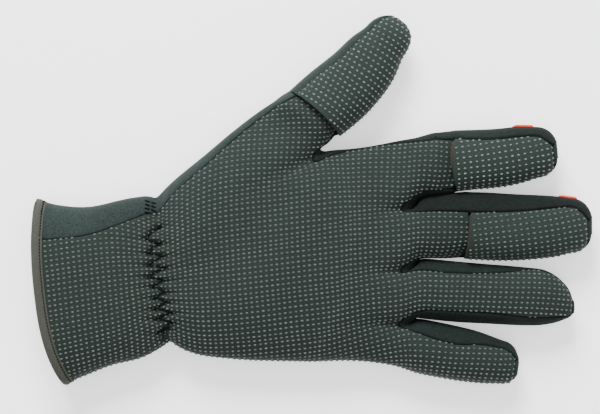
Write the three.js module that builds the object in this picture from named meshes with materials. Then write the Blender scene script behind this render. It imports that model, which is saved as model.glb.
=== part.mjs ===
// A left-hand neoprene fishing glove with fold-back fingertips. It lies on its back with the palm
// up, the fingers along +X and the thumb towards +Y. The origin is under the middle of the glove,
// on the surface that it lies on. Sizes are in millimetres and angles in degrees.
//
// The glove is one skin of sewn panels. Rings of points are laid round the hand and round each
// finger, each panel takes its own share of the net between the rings, and every panel is then
// given its thickness inwards and drawn back a little from its neighbours at the seams.
import * as THREE from "three";

// Driving sizes
const WALL = 2.5; // neoprene with a knit face on both sides
const SEAM_GAP = 0.3; // between two sewn panels, and between a piece and what it lies on
const SEAM_BEVEL = 0.6; // how much more a panel is drawn back inside, where skins bend together
const PALM_POWER = 2.3; // roundness of a section above its widest line, 2 is an ellipse
const BACK_POWER = 2.7; // the same below it, where the glove lies flatter
const WIDEST_AT = 0.47; // share of a section's height at which it is widest
const BOW_POWER = 2.5; // how evenly a bowed row bends
const CUFF_SKEW = 0.25; // a row that bows backwards does so more on the little finger's side

// Net counts, in columns from the thumb side to the little finger's side
const THUMB = 5;
const NOTCH = 1;
const FINGER = 5;
const WALL_STRIP = 3; // up the side of a finger, and round the thumb edge of the hand
const KNUCKLES = {
  palm: [0.265, 0.015, 0.222, 0.015, 0.195, 0.015, 0.273], // index, notch, middle ... little
  back: [0.28, 0.015, 0.265, 0.015, 0.235, 0.015, 0.175],
};
const THUMB_SHARE = 0.2; // of the width of the hand, where the thumb leaves it
const WEB_SHARE = 0.02;

// Wrist gathers, sewn down with elastic in a zigzag
const TOOTH = [1, 0.1, -1]; // along the hand, over the three columns of one stitch
const TOOTH_REACH = 2.7;
const PUFF = [0.3, 1, -0.9]; // how the cloth stands between the stitches, over the same columns

// Fold-back tips
const CAP_STEP = 1.3; // a cap stands this far over the finger at its slit
const TUCK = [3, 7.5]; // how far the finger reaches on under its cap

// Each row is a section across the hand: r is its thumb-side end and u its other end in plan, bow
// bends it forwards, low and top are its heights, palmR and palmU are where the palm panel ends on
// each side, backR is where the wall on the thumb side ends underneath. Then the wrist gathers:
// zig, dip and puff; and the valleys at the finger and thumb crotches: lobe and web.
const HAND = table(
  "rx ry ux uy bow low top palmR palmU backR zig dip puff lobe web",
  [
    [-134.8, 0.2, -121.0, -90.0, -7.4, 1.9, 33.0, 57, 200, -35, 0, 0, 0, 0, 0],
    [-129.2, -2.0, -114.8, -87.4, -6.8, 1.8, 32.2, 56, 200, -35, 0, 0, 0, 0, 0],
    [-120.4, -3.6, -107.0, -84.2, -5.5, 1.8, 31.2, 54, 200, -35, 0, 0, 0, 0, 0],
    [-108.5, -3.8, -97.0, -80.4, -4.0, 2.0, 29.8, 52, 200, -35, 0, 0, 0, 0, 0],
    [-96.0, -0.7, -86.0, -78.2, -3.0, 2.2, 28.2, 49, 200, -35, 0.1, 0, 0.2, 0, 0],
    [-85.0, 1.2, -76.5, -73.8, -2.5, 2.5, 26.4, 45, 200, -35, 0.5, 0, 0.6, 0, 0],
    [-80.2, 1.4, -72.6, -71.2, -2.3, 2.8, 25.2, 42, 200, -35, 1, 0.3, 0.7, 0, 0],
    [-77.2, 0.8, -70.0, -69.4, -2.2, 2.9, 24.6, 41, 200, -35, 1, 1.7, 0.2, 0, 0],
    [-74.4, 3.0, -67.6, -71.0, -2.0, 2.8, 25.4, 40, 200, -35, 1, 0.3, 0.8, 0, 0],
    [-69.8, 7.6, -63.0, -73.4, -1.0, 2.2, 27.4, 36, 200, -35, 0.5, 0, 0.6, 0, 0],
    [-62.5, 13.8, -55.5, -76.0, 1.0, 1.0, 29.2, 30, 200, -35, 0.1, 0, 0.2, 0, 0],
    [-53.0, 21.5, -45.0, -77.4, 6.0, 0.0, 30.4, 26, 200, -35, 0, 0, 0, 0, 0],
    [-42.5, 30.5, -32.0, -78.6, 13.0, -0.7, 31.2, 21, 200, -35, 0, 0, 0, 0, 0.6],
    [-33.0, 38.0, -20.0, -79.0, 21.0, -1.0, 31.4, 18, 200, -35, 0, 0, 0, 0, 2.0],
    [-23.7, 45.0, -8.0, -79.4, 29.0, -1.0, 31.0, 17, 200, -35, 0, 0, 0, 0, 5.5],
    [9.6, 24.2, -2.0, -79.4, 14.5, -1.0, 30.0, 30, 200, -32, 0, 0, 0, 0.3, 0],
    [19.0, 24.8, 8.0, -79.2, 9.5, -1.0, 29.2, 13, 200, -30, 0, 0, 0, 0.6, 0],
    [31.0, 26.4, 22.0, -79.0, 6.5, -1.0, 27.8, 9, 200, -26, 0, 0, 0, 1.6, 0],
    [43.5, 29.0, 42.0, -81.6, 2.5, -0.6, 26.4, 12, 200, -22, 0, 0, 0, 4.5, 0],
  ],
);
const THUMB_CROTCH = 14; // the row that the thumb leaves the hand from

// Each row is a section across the thumb or a finger. palmR and palmU are the palm seams, backU and
// backR the back seams, as angles round the section from its thumb-side edge over the palm side.
const THUMB_ROWS = table("rx ry ux uy bow low top palmR palmU backU backR", [
  [-17.6, 49.4, 7.4, 28.0, 3.0, 0.6, 29.5, 42, 160, 222, -35],
  [-11.4, 53.6, 11.6, 32.2, 1.4, 1.6, 28.8, 45, 184, 214, -35],
]);
const THUMB_CAP_ROWS = table("rx ry ux uy bow low top palmR palmU backU backR", [
  [-10.6, 54.3, 14.2, 31.4, 1.9, 1.8, 29.4, 44, 190, 212, -35],
  [-2.0, 61.9, 23.8, 39.0, 0.5, 2.2, 29.0, 42, 206, 206, -35],
  [5.8, 68.1, 30.6, 46.0, 0, 2.8, 28.2, 44, 206, 206, -35],
  [13.0, 74.0, 36.6, 53.4, 0, 3.4, 27.2, 46, 206, 206, -35],
  [19.8, 80.0, 42.0, 61.0, 0, 4.2, 26.0, 44, 206, 206, -35],
  [26.0, 84.8, 45.4, 69.6, 0, 5.2, 24.6, 44, 204, 204, -35],
]);
const INDEX_ROWS = table("rx ry ux uy bow low top palmR palmU backU backR", [
  [52.6, 31.0, 52.6, 0.9, 0, -0.4, 25.2, 34, 143, 212, -12],
  [61.0, 33.0, 61.2, 2.5, 0, 0, 24.6, 40, 146, 211, -6],
  [61.6, 33.2, 61.8, 2.6, 0, 0, 24.6, 40, 146, 211, -6],
  [70.8, 34.2, 71.0, 3.7, -1.6, 0.2, 24.0, 46, 152, 210, -2],
]);
const INDEX_CAP_ROWS = table("rx ry ux uy bow low top palmR palmU backU backR", [
  [71.6, 34.5, 72.0, 4.2, -2.2, 0.2, 24.8, 46, 170, 210, -2],
  [82.5, 34.7, 83.5, 5.2, 0, 0.6, 24.4, 52, 182, 211, 0],
  [92.5, 35.1, 94.0, 6.2, 0, 1.1, 23.8, 53, 191, 211, 0],
  [102.0, 35.9, 104.0, 8.2, 0, 1.9, 23.0, 54, 194, 211, 0],
  [109.6, 35.3, 112.0, 10.9, 0, 2.8, 22.2, 54, 192, 208, 0],
]);
const MIDDLE_ROWS = table("rx ry ux uy bow low top palmR palmU backU backR", [
  [53.0, 0.1, 53.0, -28.9, 0, -0.4, 25.4, 58, 158, 214, -22],
  [63.5, 1.7, 63.5, -28.9, 0, 0, 24.9, 64, 175, 214, -14],
  [76.6, 3.4, 75.2, -28.9, 0.8, 0.2, 24.4, 68, 188, 214, -8],
]);
const MIDDLE_CAP_ROWS = table("rx ry ux uy bow low top palmR palmU backU backR", [
  [77.6, 3.8, 76.0, -29.2, 1.4, 0.2, 25.2, 69, 189, 214, -6],
  [88.0, 3.6, 87.5, -29.8, 0, 0.5, 25.0, 68, 194, 214, -2],
  [99.5, 2.9, 99.5, -30.0, 0, 1.0, 24.4, 65, 194, 214, 0],
  [112.0, 2.4, 112.0, -29.2, 0, 1.7, 23.6, 60, 194, 214, 2],
  [121.8, 1.8, 121.8, -28.0, 0, 2.5, 22.8, 54, 192, 212, 2],
  [128.2, 0.9, 128.2, -26.4, 0, 3.2, 22.0, 50, 190, 208, 0],
]);
const RING_ROWS = table("rx ry ux uy bow low top palmR palmU backU backR", [
  [53.0, -29.6, 53.0, -58.3, 0, -0.4, 24.6, 50, 133, 208, -30],
  [63.5, -29.6, 63.5, -59.4, 0, 0, 24.1, 54, 127, 206, -28],
  [75.0, -30.5, 75.0, -60.4, 0, 0.3, 23.6, 51, 125, 204, -26],
  [87.5, -31.6, 87.5, -61.0, 0, 0.7, 23.1, 47, 125, 204, -24],
  [99.5, -32.5, 99.5, -61.6, 0, 1.3, 22.5, 34, 129, 204, -20],
  [109.5, -33.8, 109.5, -61.7, 0, 2.0, 21.9, 18, 132, 202, -16],
]);
const LITTLE_ROWS = table("rx ry ux uy bow low top palmR palmU backU backR", [
  [51.6, -59.2, 50.5, -84.7, 0, -0.3, 23.6, 60, 202, 202, -32],
  [63.0, -60.2, 61.0, -87.3, 0, 0.2, 23.1, 70, 202, 202, -26],
  [73.0, -62.2, 71.0, -89.1, 0, 0.5, 22.6, 72, 202, 202, -22],
  [81.8, -64.4, 79.0, -90.0, 0, 1.0, 22.0, 62, 202, 202, -20],
  [89.0, -66.8, 86.0, -90.5, 0, 1.6, 21.3, 54, 202, 202, -18],
  [95.0, -69.5, 92.0, -90.4, 0, 2.3, 20.5, 50, 200, 200, -16],
]);

// Fingertips: how far each dome stands beyond its last row, how far it leans towards the thumb's
// side, and how pointed it is, where 1 is a ball
const TIPS = {
  thumb: { reach: 14.0, lean: -0.8, power: 0.8 },
  index: { reach: 10.2, lean: 0.3, power: 0.8 },
  middle: { reach: 9.6, lean: 0.5, power: 0.8 },
  ring: { reach: 20.0, lean: -6.0, power: 1.15 },
  little: { reach: 8.6, lean: -2.2, power: 0.85 },
};
const DOME = table("turn blend", [
  [30, 0.1],
  [55, 0.6],
  [75, 1],
]);
const TIP_SEAM = 25; // angle at which the seams meet over the tip
const TIP_SEAM_RISE = 0.45; // share of the upper half's height

// Soft folds of the palm: a valley along a line in plan
const FOLDS = table("x1 y1 x2 y2 depth width", [
  [4, 17, -52, -34, 2.2, 13],
  [10, -8, -8, -62, 0.9, 10],
  [-2, 30, -30, 33, 0.8, 7],
]);

// Bound cuff edge: a tape folded round the mouth
const BINDING = { width: 4.7, thickness: 0.9, nose: 0.6 };

// Raised rubber patches on the backs of two fingers, near the tip, and the arc that each covers
const PATCH = { thickness: 0.9, from: 3, to: -62, columns: 4 };
const PATCH_ROWS = { index: [2.7, 3.9], middle: [3.9, 4.9] }; // of the cap's rows

const rad = THREE.MathUtils.degToRad;

function table(columns, rows) {
  const names = columns.split(" ");
  return rows.map((row) => Object.fromEntries(names.map((name, i) => [name, row[i]])));
}

// The point at an angle round a section: 0 is the thumb-side edge, 90 the top, 180 the other edge
function sectionPoint(section, angle) {
  const c = Math.cos(rad(angle));
  const s = Math.sin(rad(angle));
  const power = 2 / (s >= 0 ? PALM_POWER : BACK_POWER);
  const across = Math.sign(c) * Math.abs(c) ** power;
  const rise = Math.sign(s) * Math.abs(s) ** power;
  const { rx, ry, ux, uy, low, top, bow = 0 } = section;
  const width = Math.hypot(rx - ux, ry - uy);
  const side = new THREE.Vector3((rx - ux) / width, (ry - uy) / width, 0);
  const along = new THREE.Vector3(side.y, -side.x, 0);
  const widest = low + (top - low) * WIDEST_AT;
  const height = s >= 0 ? top - widest : widest - low;
  const skew = bow < 0 ? 1 - CUFF_SKEW * across : 1;
  return new THREE.Vector3((rx + ux) / 2, (ry + uy) / 2, widest + rise * height)
    .addScaledVector(side, (across * width) / 2)
    .addScaledVector(along, bow * skew * (1 - Math.abs(across) ** BOW_POWER));
}

// Points round a section from one angle to another, at the given shares of the way
function arc(section, from, to, shares) {
  const steps = 72;
  const trace = [];
  for (let i = 0; i <= steps; i++) trace.push(sectionPoint(section, from + ((to - from) * i) / steps));
  const run = [0];
  for (let i = 1; i <= steps; i++) run.push(run[i - 1] + trace[i].distanceTo(trace[i - 1]));
  return shares.map((share) => {
    const aim = share * run[steps];
    let i = 1;
    while (i < steps && run[i] < aim) i++;
    const part = run[i] > run[i - 1] ? (aim - run[i - 1]) / (run[i] - run[i - 1]) : 0;
    return trace[i - 1].clone().lerp(trace[i], part);
  });
}

function even(count) {
  return Array.from({ length: count + 1 }, (_, i) => i / count);
}

// Shares of the width at which the columns of the four fingers and their notches lie
function fingerShares(face) {
  const shares = [0];
  KNUCKLES[face].forEach((part, i) => {
    const count = i % 2 ? NOTCH : FINGER;
    const start = shares[shares.length - 1];
    for (let k = 1; k <= count; k++) shares.push(start + (part * k) / count);
  });
  return shares;
}

function handShares(face) {
  const thumb = even(THUMB).map((share) => share * THUMB_SHARE);
  const rest = 1 - THUMB_SHARE - WEB_SHARE;
  const fingers = fingerShares(face).map((share) => THUMB_SHARE + WEB_SHARE + share * rest);
  return [...thumb, ...fingers];
}

function backwards(shares) {
  return shares.map((share) => 1 - share).reverse();
}

// How near a column is to one of the notches between fingers
function nearNotch(column, notches) {
  return Math.max(...notches.map((notch) => Math.exp(-(((column - notch) / 1.15) ** 2))));
}

const FINGER_NOTCHES = [1, 2, 3].map((n) => n * (FINGER + NOTCH) - NOTCH / 2);
const HAND_NOTCHES = FINGER_NOTCHES.map((n) => n + THUMB + NOTCH);
const WEB_NOTCH = THUMB + NOTCH / 2;

function foldDepth(point) {
  const flat = new THREE.Vector3(point.x, point.y, 0);
  return FOLDS.reduce((sum, fold) => {
    const line = new THREE.Line3(
      new THREE.Vector3(fold.x1, fold.y1, 0),
      new THREE.Vector3(fold.x2, fold.y2, 0),
    );
    const away = line.closestPointToPoint(flat, true, new THREE.Vector3()).distanceTo(flat);
    return sum + fold.depth * Math.exp(-((away / fold.width) ** 2));
  }, 0);
}

// Adds to a point of the hand what the wrist elastic, the folds and the crotches do to it
function settle(point, section, column, total, palmSide, notches, web) {
  const middle = new THREE.Vector3(
    (section.rx + section.ux) / 2,
    (section.ry + section.uy) / 2,
    (section.low + section.top) / 2,
  );
  const width = Math.hypot(section.rx - section.ux, section.ry - section.uy);
  const side = new THREE.Vector3(
    (section.rx - section.ux) / width,
    (section.ry - section.uy) / width,
    0,
  );
  const along = new THREE.Vector3(side.y, -side.x, 0);
  const offset = point.clone().sub(middle);
  const outward = side
    .clone()
    .multiplyScalar((offset.dot(side) / (width / 2)) * (12 / width) * 2)
    .add(new THREE.Vector3(0, 0, offset.z / ((section.top - section.low) / 2)))
    .normalize();
  const stitch = column % TOOTH.length;
  const step = (palmSide ? 1 : -1) * 1;
  const ease = Math.min(1, (total - 1 - column) / 2 + 0.2);
  point.addScaledVector(along, section.zig * TOOTH_REACH * TOOTH[stitch] * ease);
  point.addScaledVector(outward, section.puff * PUFF[stitch] * ease - section.dip);
  const valley = section.lobe * nearNotch(column, notches) + section.web * (web ? nearNotch(column, [WEB_NOTCH]) : 0);
  point.z -= step * valley * (palmSide ? 1 : 0.6);
  if (palmSide) point.z -= foldDepth(point) * Math.min(1, Math.max(0, offset.z / 8));
  point.z = Math.max(point.z, 0);
  return point;
}

// The net: points shared by every panel, and each panel's own faces
const points = [];
const pointAt = new Map();
const faces = {};

function pointNumber(point) {
  const key = [point.x, point.y, point.z].map((v) => Math.round(v * 1e4)).join();
  if (!pointAt.has(key)) {
    pointAt.set(key, points.length);
    points.push(point.clone());
  }
  return pointAt.get(key);
}

// Adds the faces between two neighbouring rows, where open(column) is false
function weave(panel, before, after, open = () => false) {
  const list = (faces[panel] ??= []);
  for (let i = 0; i + 1 < before.length; i++) {
    if (open(i)) continue;
    const corners = [before[i], before[i + 1], after[i + 1], after[i]].map(pointNumber);
    const face = corners.filter((n, k) => n !== corners[(k + 1) % corners.length]);
    if (face.length > 2) list.push(face);
  }
}

function weaveRows(panel, rows, open) {
  for (let i = 0; i + 1 < rows.length; i++) weave(panel, rows[i], rows[i + 1], open);
}

// Hand: rows that the thumb shares, then rows that run on to the fingers only
const SHARES = { palm: handShares("palm"), back: handShares("back") };
const FINGER_SHARES = { palm: fingerShares("palm"), back: fingerShares("back") };
const handPalm = [];
const handBack = [];
const handWrap = [];
HAND.forEach((section, i) => {
  const shared = i <= THUMB_CROTCH;
  const shares = shared ? SHARES : FINGER_SHARES;
  const notches = shared ? HAND_NOTCHES : FINGER_NOTCHES;
  const last = shares.palm.length - 1;
  const palm = arc(section, section.palmR, section.palmU, shares.palm);
  const back = arc(section, section.palmU, 360 + section.backR, backwards(shares.back));
  const wrap = arc(section, 360 + section.backR, 360 + section.palmR, even(WALL_STRIP));
  palm.forEach((p, k) => settle(p, section, k, last + 1, true, notches, shared));
  back.forEach((p, k) => settle(p, section, last - k, last + 1, false, notches, shared));
  wrap.forEach((p, k) => settle(p, section, (k * 2) % 3, last + 1, k * 2 > WALL_STRIP, notches, false));
  back[0] = palm[last];
  wrap[0] = back[last];
  wrap[WALL_STRIP] = palm[0];
  handPalm.push(palm);
  handBack.push(back);
  handWrap.push(wrap);
});

weaveRows("palm_panel", handPalm.slice(0, THUMB_CROTCH + 1));
weaveRows("back_panel", handBack.slice(0, THUMB_CROTCH + 1));
weaveRows("back_panel", handWrap.slice(0, THUMB_CROTCH + 1));

// Past the thumb's crotch the rows start at the index finger
const crotchPalm = handPalm[THUMB_CROTCH];
const crotchBack = handBack[THUMB_CROTCH];
const firstFinger = THUMB + NOTCH;
const fingerCount = FINGER_SHARES.palm.length;
const fingerPalm = [crotchPalm.slice(firstFinger), ...handPalm.slice(THUMB_CROTCH + 1)];
const fingerBack = [crotchBack.slice(0, fingerCount), ...handBack.slice(THUMB_CROTCH + 1)];
weaveRows("palm_panel", fingerPalm);
weaveRows("back_panel", fingerBack);

// A wall at a crotch runs down from a palm point to the back point under it, and bends on the way
function crotchWall(palmPoint, backPoint, bend) {
  return even(WALL_STRIP).map((share) => {
    const p = palmPoint.clone().lerp(backPoint, share);
    return share === 0 || share === 1 ? p : p.add(bend);
  });
}

// The strip that is sewn in between two fingers: from the crotch along each finger's side
function fourchette(name, palmEdge, backEdge, bend) {
  const near = crotchWall(palmEdge[0], backEdge[0], bend);
  const far = crotchWall(palmEdge[1], backEdge[1], bend);
  weave(name, far, near);
  return { near, far };
}

function notchEdges(palmRow, backRow, column) {
  const mirror = backRow.length - 1 - column;
  return {
    palm: [palmRow[column], palmRow[column + 1]],
    back: [backRow[mirror], backRow[mirror - 1]],
  };
}

const SUNK = new THREE.Vector3(-1.2, 0, 0);
const SPREAD = new THREE.Vector3(2.6, 1.8, 0);
const web = notchEdges(crotchPalm, crotchBack, THUMB);
const thumbWeb = fourchette("thumb_gusset", web.palm, web.back, SPREAD);

const lastPalm = fingerPalm.at(-1);
const lastBack = fingerBack.at(-1);
const crotches = [0, 1, 2].map((n) => {
  const edges = notchEdges(lastPalm, lastBack, n * (FINGER + NOTCH) + FINGER);
  const name = ["index_middle_gusset", "middle_ring_gusset", "ring_little_gusset"][n];
  return { name, ...fourchette(name, edges.palm, edges.back, SUNK) };
});

// The index finger's thumb-side wall starts at the thumb's crotch and runs beside the hand
const indexWalls = [
  [...thumbWeb.far].reverse(),
  ...HAND.slice(THUMB_CROTCH + 1).map((section, i) => {
    const wall = arc(section, 360 + section.backR, 360 + section.palmR, even(WALL_STRIP));
    wall[0] = fingerBack[i + 1].at(-1);
    wall[WALL_STRIP] = fingerPalm[i + 1][0];
    return wall;
  }),
];
weaveRows("thumb_gusset", indexWalls);

// One ring round a finger in its four parts, each in the same turning sense
function ring(section) {
  const { palmR, palmU, backU, backR } = section;
  const widest = section.low + (section.top - section.low) * WIDEST_AT;
  const part = (from, to, count) =>
    arc(section, from, to, even(count)).map((p) => {
      p.z -= foldDepth(p) * THREE.MathUtils.clamp((p.z - widest) / 8, 0, 1);
      p.z = Math.max(p.z, 0);
      return p;
    });
  const palm = part(palmR, palmU, FINGER);
  const under = part(palmU, backU, WALL_STRIP);
  const back = part(backU, 360 + backR, FINGER);
  const over = part(360 + backR, 360 + palmR, WALL_STRIP);
  under[0] = palm[FINGER];
  back[0] = under[WALL_STRIP];
  over[0] = back[FINGER];
  over[WALL_STRIP] = palm[0];
  return { palm, under, back, over };
}

// The dome beyond the last row: the section shrinks as it turns over, and its seams close in
function dome(section, tip) {
  const { rx, ry, ux, uy, low, top } = section;
  const width = Math.hypot(rx - ux, ry - uy);
  const side = new THREE.Vector2((rx - ux) / width, (ry - uy) / width);
  const along = new THREE.Vector2(side.y, -side.x);
  const widest = low + (top - low) * WIDEST_AT;
  const shrunk = (turn, blend) => {
    const scale = Math.cos(rad(turn)) ** tip.power;
    const reach = tip.reach * Math.sin(rad(turn));
    const lean = tip.lean * (1 - Math.cos(rad(turn)));
    const middle = new THREE.Vector2((rx + ux) / 2, (ry + uy) / 2)
      .addScaledVector(along, reach)
      .addScaledVector(side, lean);
    const r = middle.clone().addScaledVector(side, (width / 2) * scale);
    const u = middle.clone().addScaledVector(side, (-width / 2) * scale);
    const to = THREE.MathUtils.lerp;
    return {
      rx: r.x,
      ry: r.y,
      ux: u.x,
      uy: u.y,
      low: widest - (widest - low) * scale,
      top: widest + (top - widest) * scale,
      palmR: to(section.palmR, TIP_SEAM, blend),
      palmU: to(section.palmU, 180 - TIP_SEAM, blend),
      backU: to(section.backU, 180 - TIP_SEAM, blend),
      backR: to(section.backR, TIP_SEAM, blend),
    };
  };
  const rows = DOME.map(({ turn, blend }) => shrunk(turn, blend));
  const rings = rows.map(ring);
  const last = rings.at(-1);
  const lastRow = rows.at(-1);
  const nose = new THREE.Vector3(along.x, along.y, 0).multiplyScalar(
    tip.reach * (1 - Math.sin(rad(DOME.at(-1).turn))),
  );
  const rise = (lastRow.top - widest) * TIP_SEAM_RISE;
  const seam = last.palm.map((p, i) => {
    if (i === 0 || i === FINGER) return p;
    return p.clone().lerp(last.back[FINGER - i], 0.5).add(nose).setZ(widest + rise);
  });
  return { rings, seam };
}

// Lays a finger from its root ring, in the given panels, out to its tip
function finger(name, root, rows, capRows, panels, nick) {
  const plain = rows.map(ring);
  const capped = capRows.map(ring);
  const rings = [root, ...plain];
  const join = (key, before, after, panel, open) => weave(panel, before[key], after[key], open);
  if (panels.cap) tuck(rings.at(-1), capRows);
  for (let i = 0; i + 1 < rings.length; i++) join("palm", rings[i], rings[i + 1], "palm_panel");
  const all = [...rings, ...capped];
  const tip = dome(capRows.length ? capRows.at(-1) : rows.at(-1), TIPS[name]);
  const whole = [...all, ...tip.rings];
  for (let i = 0; i + 1 < whole.length; i++) {
    const open = nick && i === nick.after ? (column) => column >= nick.column : undefined;
    join("under", whole[i], whole[i + 1], panels.under);
    join("over", whole[i], whole[i + 1], panels.over, open);
    join("back", whole[i], whole[i + 1], "back_panel");
  }
  const top = panels.cap ?? "palm_panel";
  const start = panels.cap ? rings.length : rings.length - 1;
  if (panels.cap) {
    const slit = capped[0].palm;
    const lift = (p, share) => p.clone().setZ(p.z + CAP_STEP * Math.sin(Math.PI * share) ** 0.7);
    capped[0].palm = slit.map((p, i) => (i === 0 || i === FINGER ? p : lift(p, i / FINGER)));
  }
  for (let i = start; i + 1 < whole.length; i++) join("palm", whole[i], whole[i + 1], top);
  weave(top, whole.at(-1).palm, tip.seam);
  weave("back_panel", whole.at(-1).back, [...tip.seam].reverse());
  return { rings: whole, capped };
}

// Under a cap the finger's palm side dips and runs on inside, clear of the cap
function tuck(stub, capRows) {
  const clear = WALL + SEAM_GAP + 0.9;
  const [first, next] = capRows;
  const inner = (section) => {
    const { rx, ry, ux, uy } = section;
    const width = Math.hypot(rx - ux, ry - uy);
    const side = new THREE.Vector2((rx - ux) / width, (ry - uy) / width);
    return {
      ...section,
      rx: rx - side.x * clear,
      ry: ry - side.y * clear,
      ux: ux + side.x * clear,
      uy: uy + side.y * clear,
      top: section.top - clear,
      low: section.low + clear,
    };
  };
  const length = Math.hypot(
    (next.rx + next.ux - first.rx - first.ux) / 2,
    (next.ry + next.uy - first.ry - first.uy) / 2,
  );
  const between = (share) =>
    Object.fromEntries(Object.keys(first).map((k) => [k, THREE.MathUtils.lerp(first[k], next[k], share)]));
  const inset = 20;
  const strip = (section) =>
    arc(inner(section), section.palmR + inset, section.palmU - inset, even(FINGER - 2));
  const rows = TUCK.map((reach) => strip(between(reach / length)));
  const dipped = strip(first);
  for (let i = 1; i < FINGER; i++) stub.palm[i].copy(dipped[i - 1]);
  weaveRows("palm_panel", [stub.palm.slice(1, FINGER), ...rows]);
}

function rootRing(palmRow, backRow, start, under, over) {
  const palm = palmRow.slice(start, start + FINGER + 1);
  const mirror = backRow.length - 1 - start - FINGER;
  const back = backRow.slice(mirror, mirror + FINGER + 1);
  return { palm, back, under, over };
}

const flip = (list) => [...list].reverse();
const littleEdge = even(WALL_STRIP).map(() => lastPalm.at(-1));
const step = FINGER + NOTCH;
const names = ["index", "middle", "ring", "little"];
const roots = names.map((name, n) =>
  rootRing(
    lastPalm,
    lastBack,
    n * step,
    n < 3 ? crotches[n].near : littleEdge,
    n > 0 ? flip(crotches[n - 1].far) : indexWalls.at(-1),
  ),
);
const thumbRoot = {
  palm: crotchPalm.slice(0, THUMB + 1),
  back: crotchBack.slice(fingerCount),
  under: thumbWeb.near,
  over: handWrap[THUMB_CROTCH],
};

const laid = {
  thumb: finger("thumb", thumbRoot, THUMB_ROWS, THUMB_CAP_ROWS, {
    under: "thumb_gusset",
    over: "back_panel",
    cap: "thumb_cap",
  }, { after: 2, column: 1 }),
  index: finger("index", roots[0], INDEX_ROWS, INDEX_CAP_ROWS, {
    under: "index_middle_gusset",
    over: "thumb_gusset",
    cap: "index_cap",
  }, { after: 2, column: 1 }),
  middle: finger("middle", roots[1], MIDDLE_ROWS, MIDDLE_CAP_ROWS, {
    under: "middle_ring_gusset",
    over: "index_middle_gusset",
    cap: "middle_cap",
  }),
  ring: finger("ring", roots[2], RING_ROWS, [], {
    under: "ring_little_gusset",
    over: "middle_ring_gusset",
  }),
  little: finger("little", roots[3], LITTLE_ROWS, [], {
    under: "back_panel",
    over: "ring_little_gusset",
  }),
};

// Outward direction at every point of the skin, averaged over the faces of all panels there
const normals = points.map(() => new THREE.Vector3());
for (const list of Object.values(faces))
  for (const face of list) {
    const area = faceArea(face);
    for (const n of new Set(face)) normals[n].add(area);
  }
normals.forEach((n) => n.normalize());

function faceArea(face) {
  const sum = new THREE.Vector3();
  for (let i = 1; i + 1 < face.length; i++) {
    const a = points[face[i]].clone().sub(points[face[0]]);
    const b = points[face[i + 1]].clone().sub(points[face[0]]);
    sum.add(a.cross(b));
  }
  return sum;
}

// A panel as a closed solid: drawn back at its seams, then thickened inwards
function thicken(list) {
  const edges = new Map();
  list.forEach((face) =>
    face.forEach((a, i) => {
      const b = face[(i + 1) % face.length];
      edges.set(a + "_" + b, [a, b]);
    }),
  );
  const rim = [...edges.values()].filter(([a, b]) => !edges.has(b + "_" + a));
  const rimPoints = new Set(rim.flat());
  const inward = new Map();
  for (const face of list) {
    const centre = face
      .reduce((sum, n) => sum.add(points[n]), new THREE.Vector3())
      .divideScalar(face.length);
    for (const n of face)
      if (rimPoints.has(n)) {
        const pull = centre.clone().sub(points[n]);
        pull.addScaledVector(normals[n], -pull.dot(normals[n])).normalize();
        inward.set(n, (inward.get(n) ?? new THREE.Vector3()).add(pull));
      }
  }
  const used = new Map();
  const outer = [];
  for (const face of list)
    for (const n of face)
      if (!used.has(n)) {
        used.set(n, outer.length);
        const p = points[n].clone();
        if (inward.has(n)) p.addScaledVector(inward.get(n).normalize(), SEAM_GAP / 2 + 0.02);
        outer.push(p);
      }
  const inner = [...used.keys()].map((n, i) => {
    const p = outer[i].clone().addScaledVector(normals[n], -WALL);
    return inward.has(n) ? p.addScaledVector(inward.get(n), SEAM_BEVEL) : p;
  });
  const corners = [...outer, ...inner];
  const index = [];
  const count = outer.length;
  for (const face of list) {
    const f = face.map((n) => used.get(n));
    for (let i = 1; i + 1 < f.length; i++) {
      index.push(f[0], f[i], f[i + 1]);
      index.push(f[0] + count, f[i + 1] + count, f[i] + count);
    }
  }
  for (const [a, b] of rim) {
    const p = used.get(a);
    const q = used.get(b);
    index.push(q, p, p + count, q, p + count, q + count);
  }
  const geometry = new THREE.BufferGeometry().setFromPoints(corners);
  geometry.setIndex(index);
  return geometry;
}

// The cuff's edge tape: a folded strip round the mouth, in a ring of points on the first two rows
function bindingGeometry() {
  const loop = (i) => [
    ...handPalm[i].slice(0, -1),
    ...handBack[i].slice(0, -1),
    ...handWrap[i].slice(0, -1),
  ];
  const edge = loop(0);
  const behind = loop(1);
  const { width, thickness, nose } = BINDING;
  const out = SEAM_GAP + thickness;
  const profile = [
    [width, SEAM_GAP],
    [width, out],
    [-0.1, out],
    [-SEAM_GAP - nose, -WALL * 0.2],
    [-SEAM_GAP - nose, -WALL * 0.8],
    [-0.1, -WALL - out],
    [width, -WALL - out],
    [width, -WALL - SEAM_GAP],
    [-SEAM_GAP, -WALL - SEAM_GAP],
    [-SEAM_GAP, SEAM_GAP],
  ];
  const corners = [];
  edge.forEach((p, i) => {
    const inland = behind[i].clone().sub(p).normalize();
    const out = normals[pointNumber(p)];
    for (const [along, up] of profile)
      corners.push(p.clone().addScaledVector(inland, along).addScaledVector(out, up));
  });
  const index = [];
  const n = profile.length;
  for (let i = 0; i < edge.length; i++)
    for (let k = 0; k < n; k++) {
      const a = i * n + k;
      const b = i * n + ((k + 1) % n);
      const c = ((i + 1) % edge.length) * n + ((k + 1) % n);
      const d = ((i + 1) % edge.length) * n + k;
      index.push(a, b, c, a, c, d);
    }
  return new THREE.BufferGeometry().setFromPoints(corners).setIndex(index);
}

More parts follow.
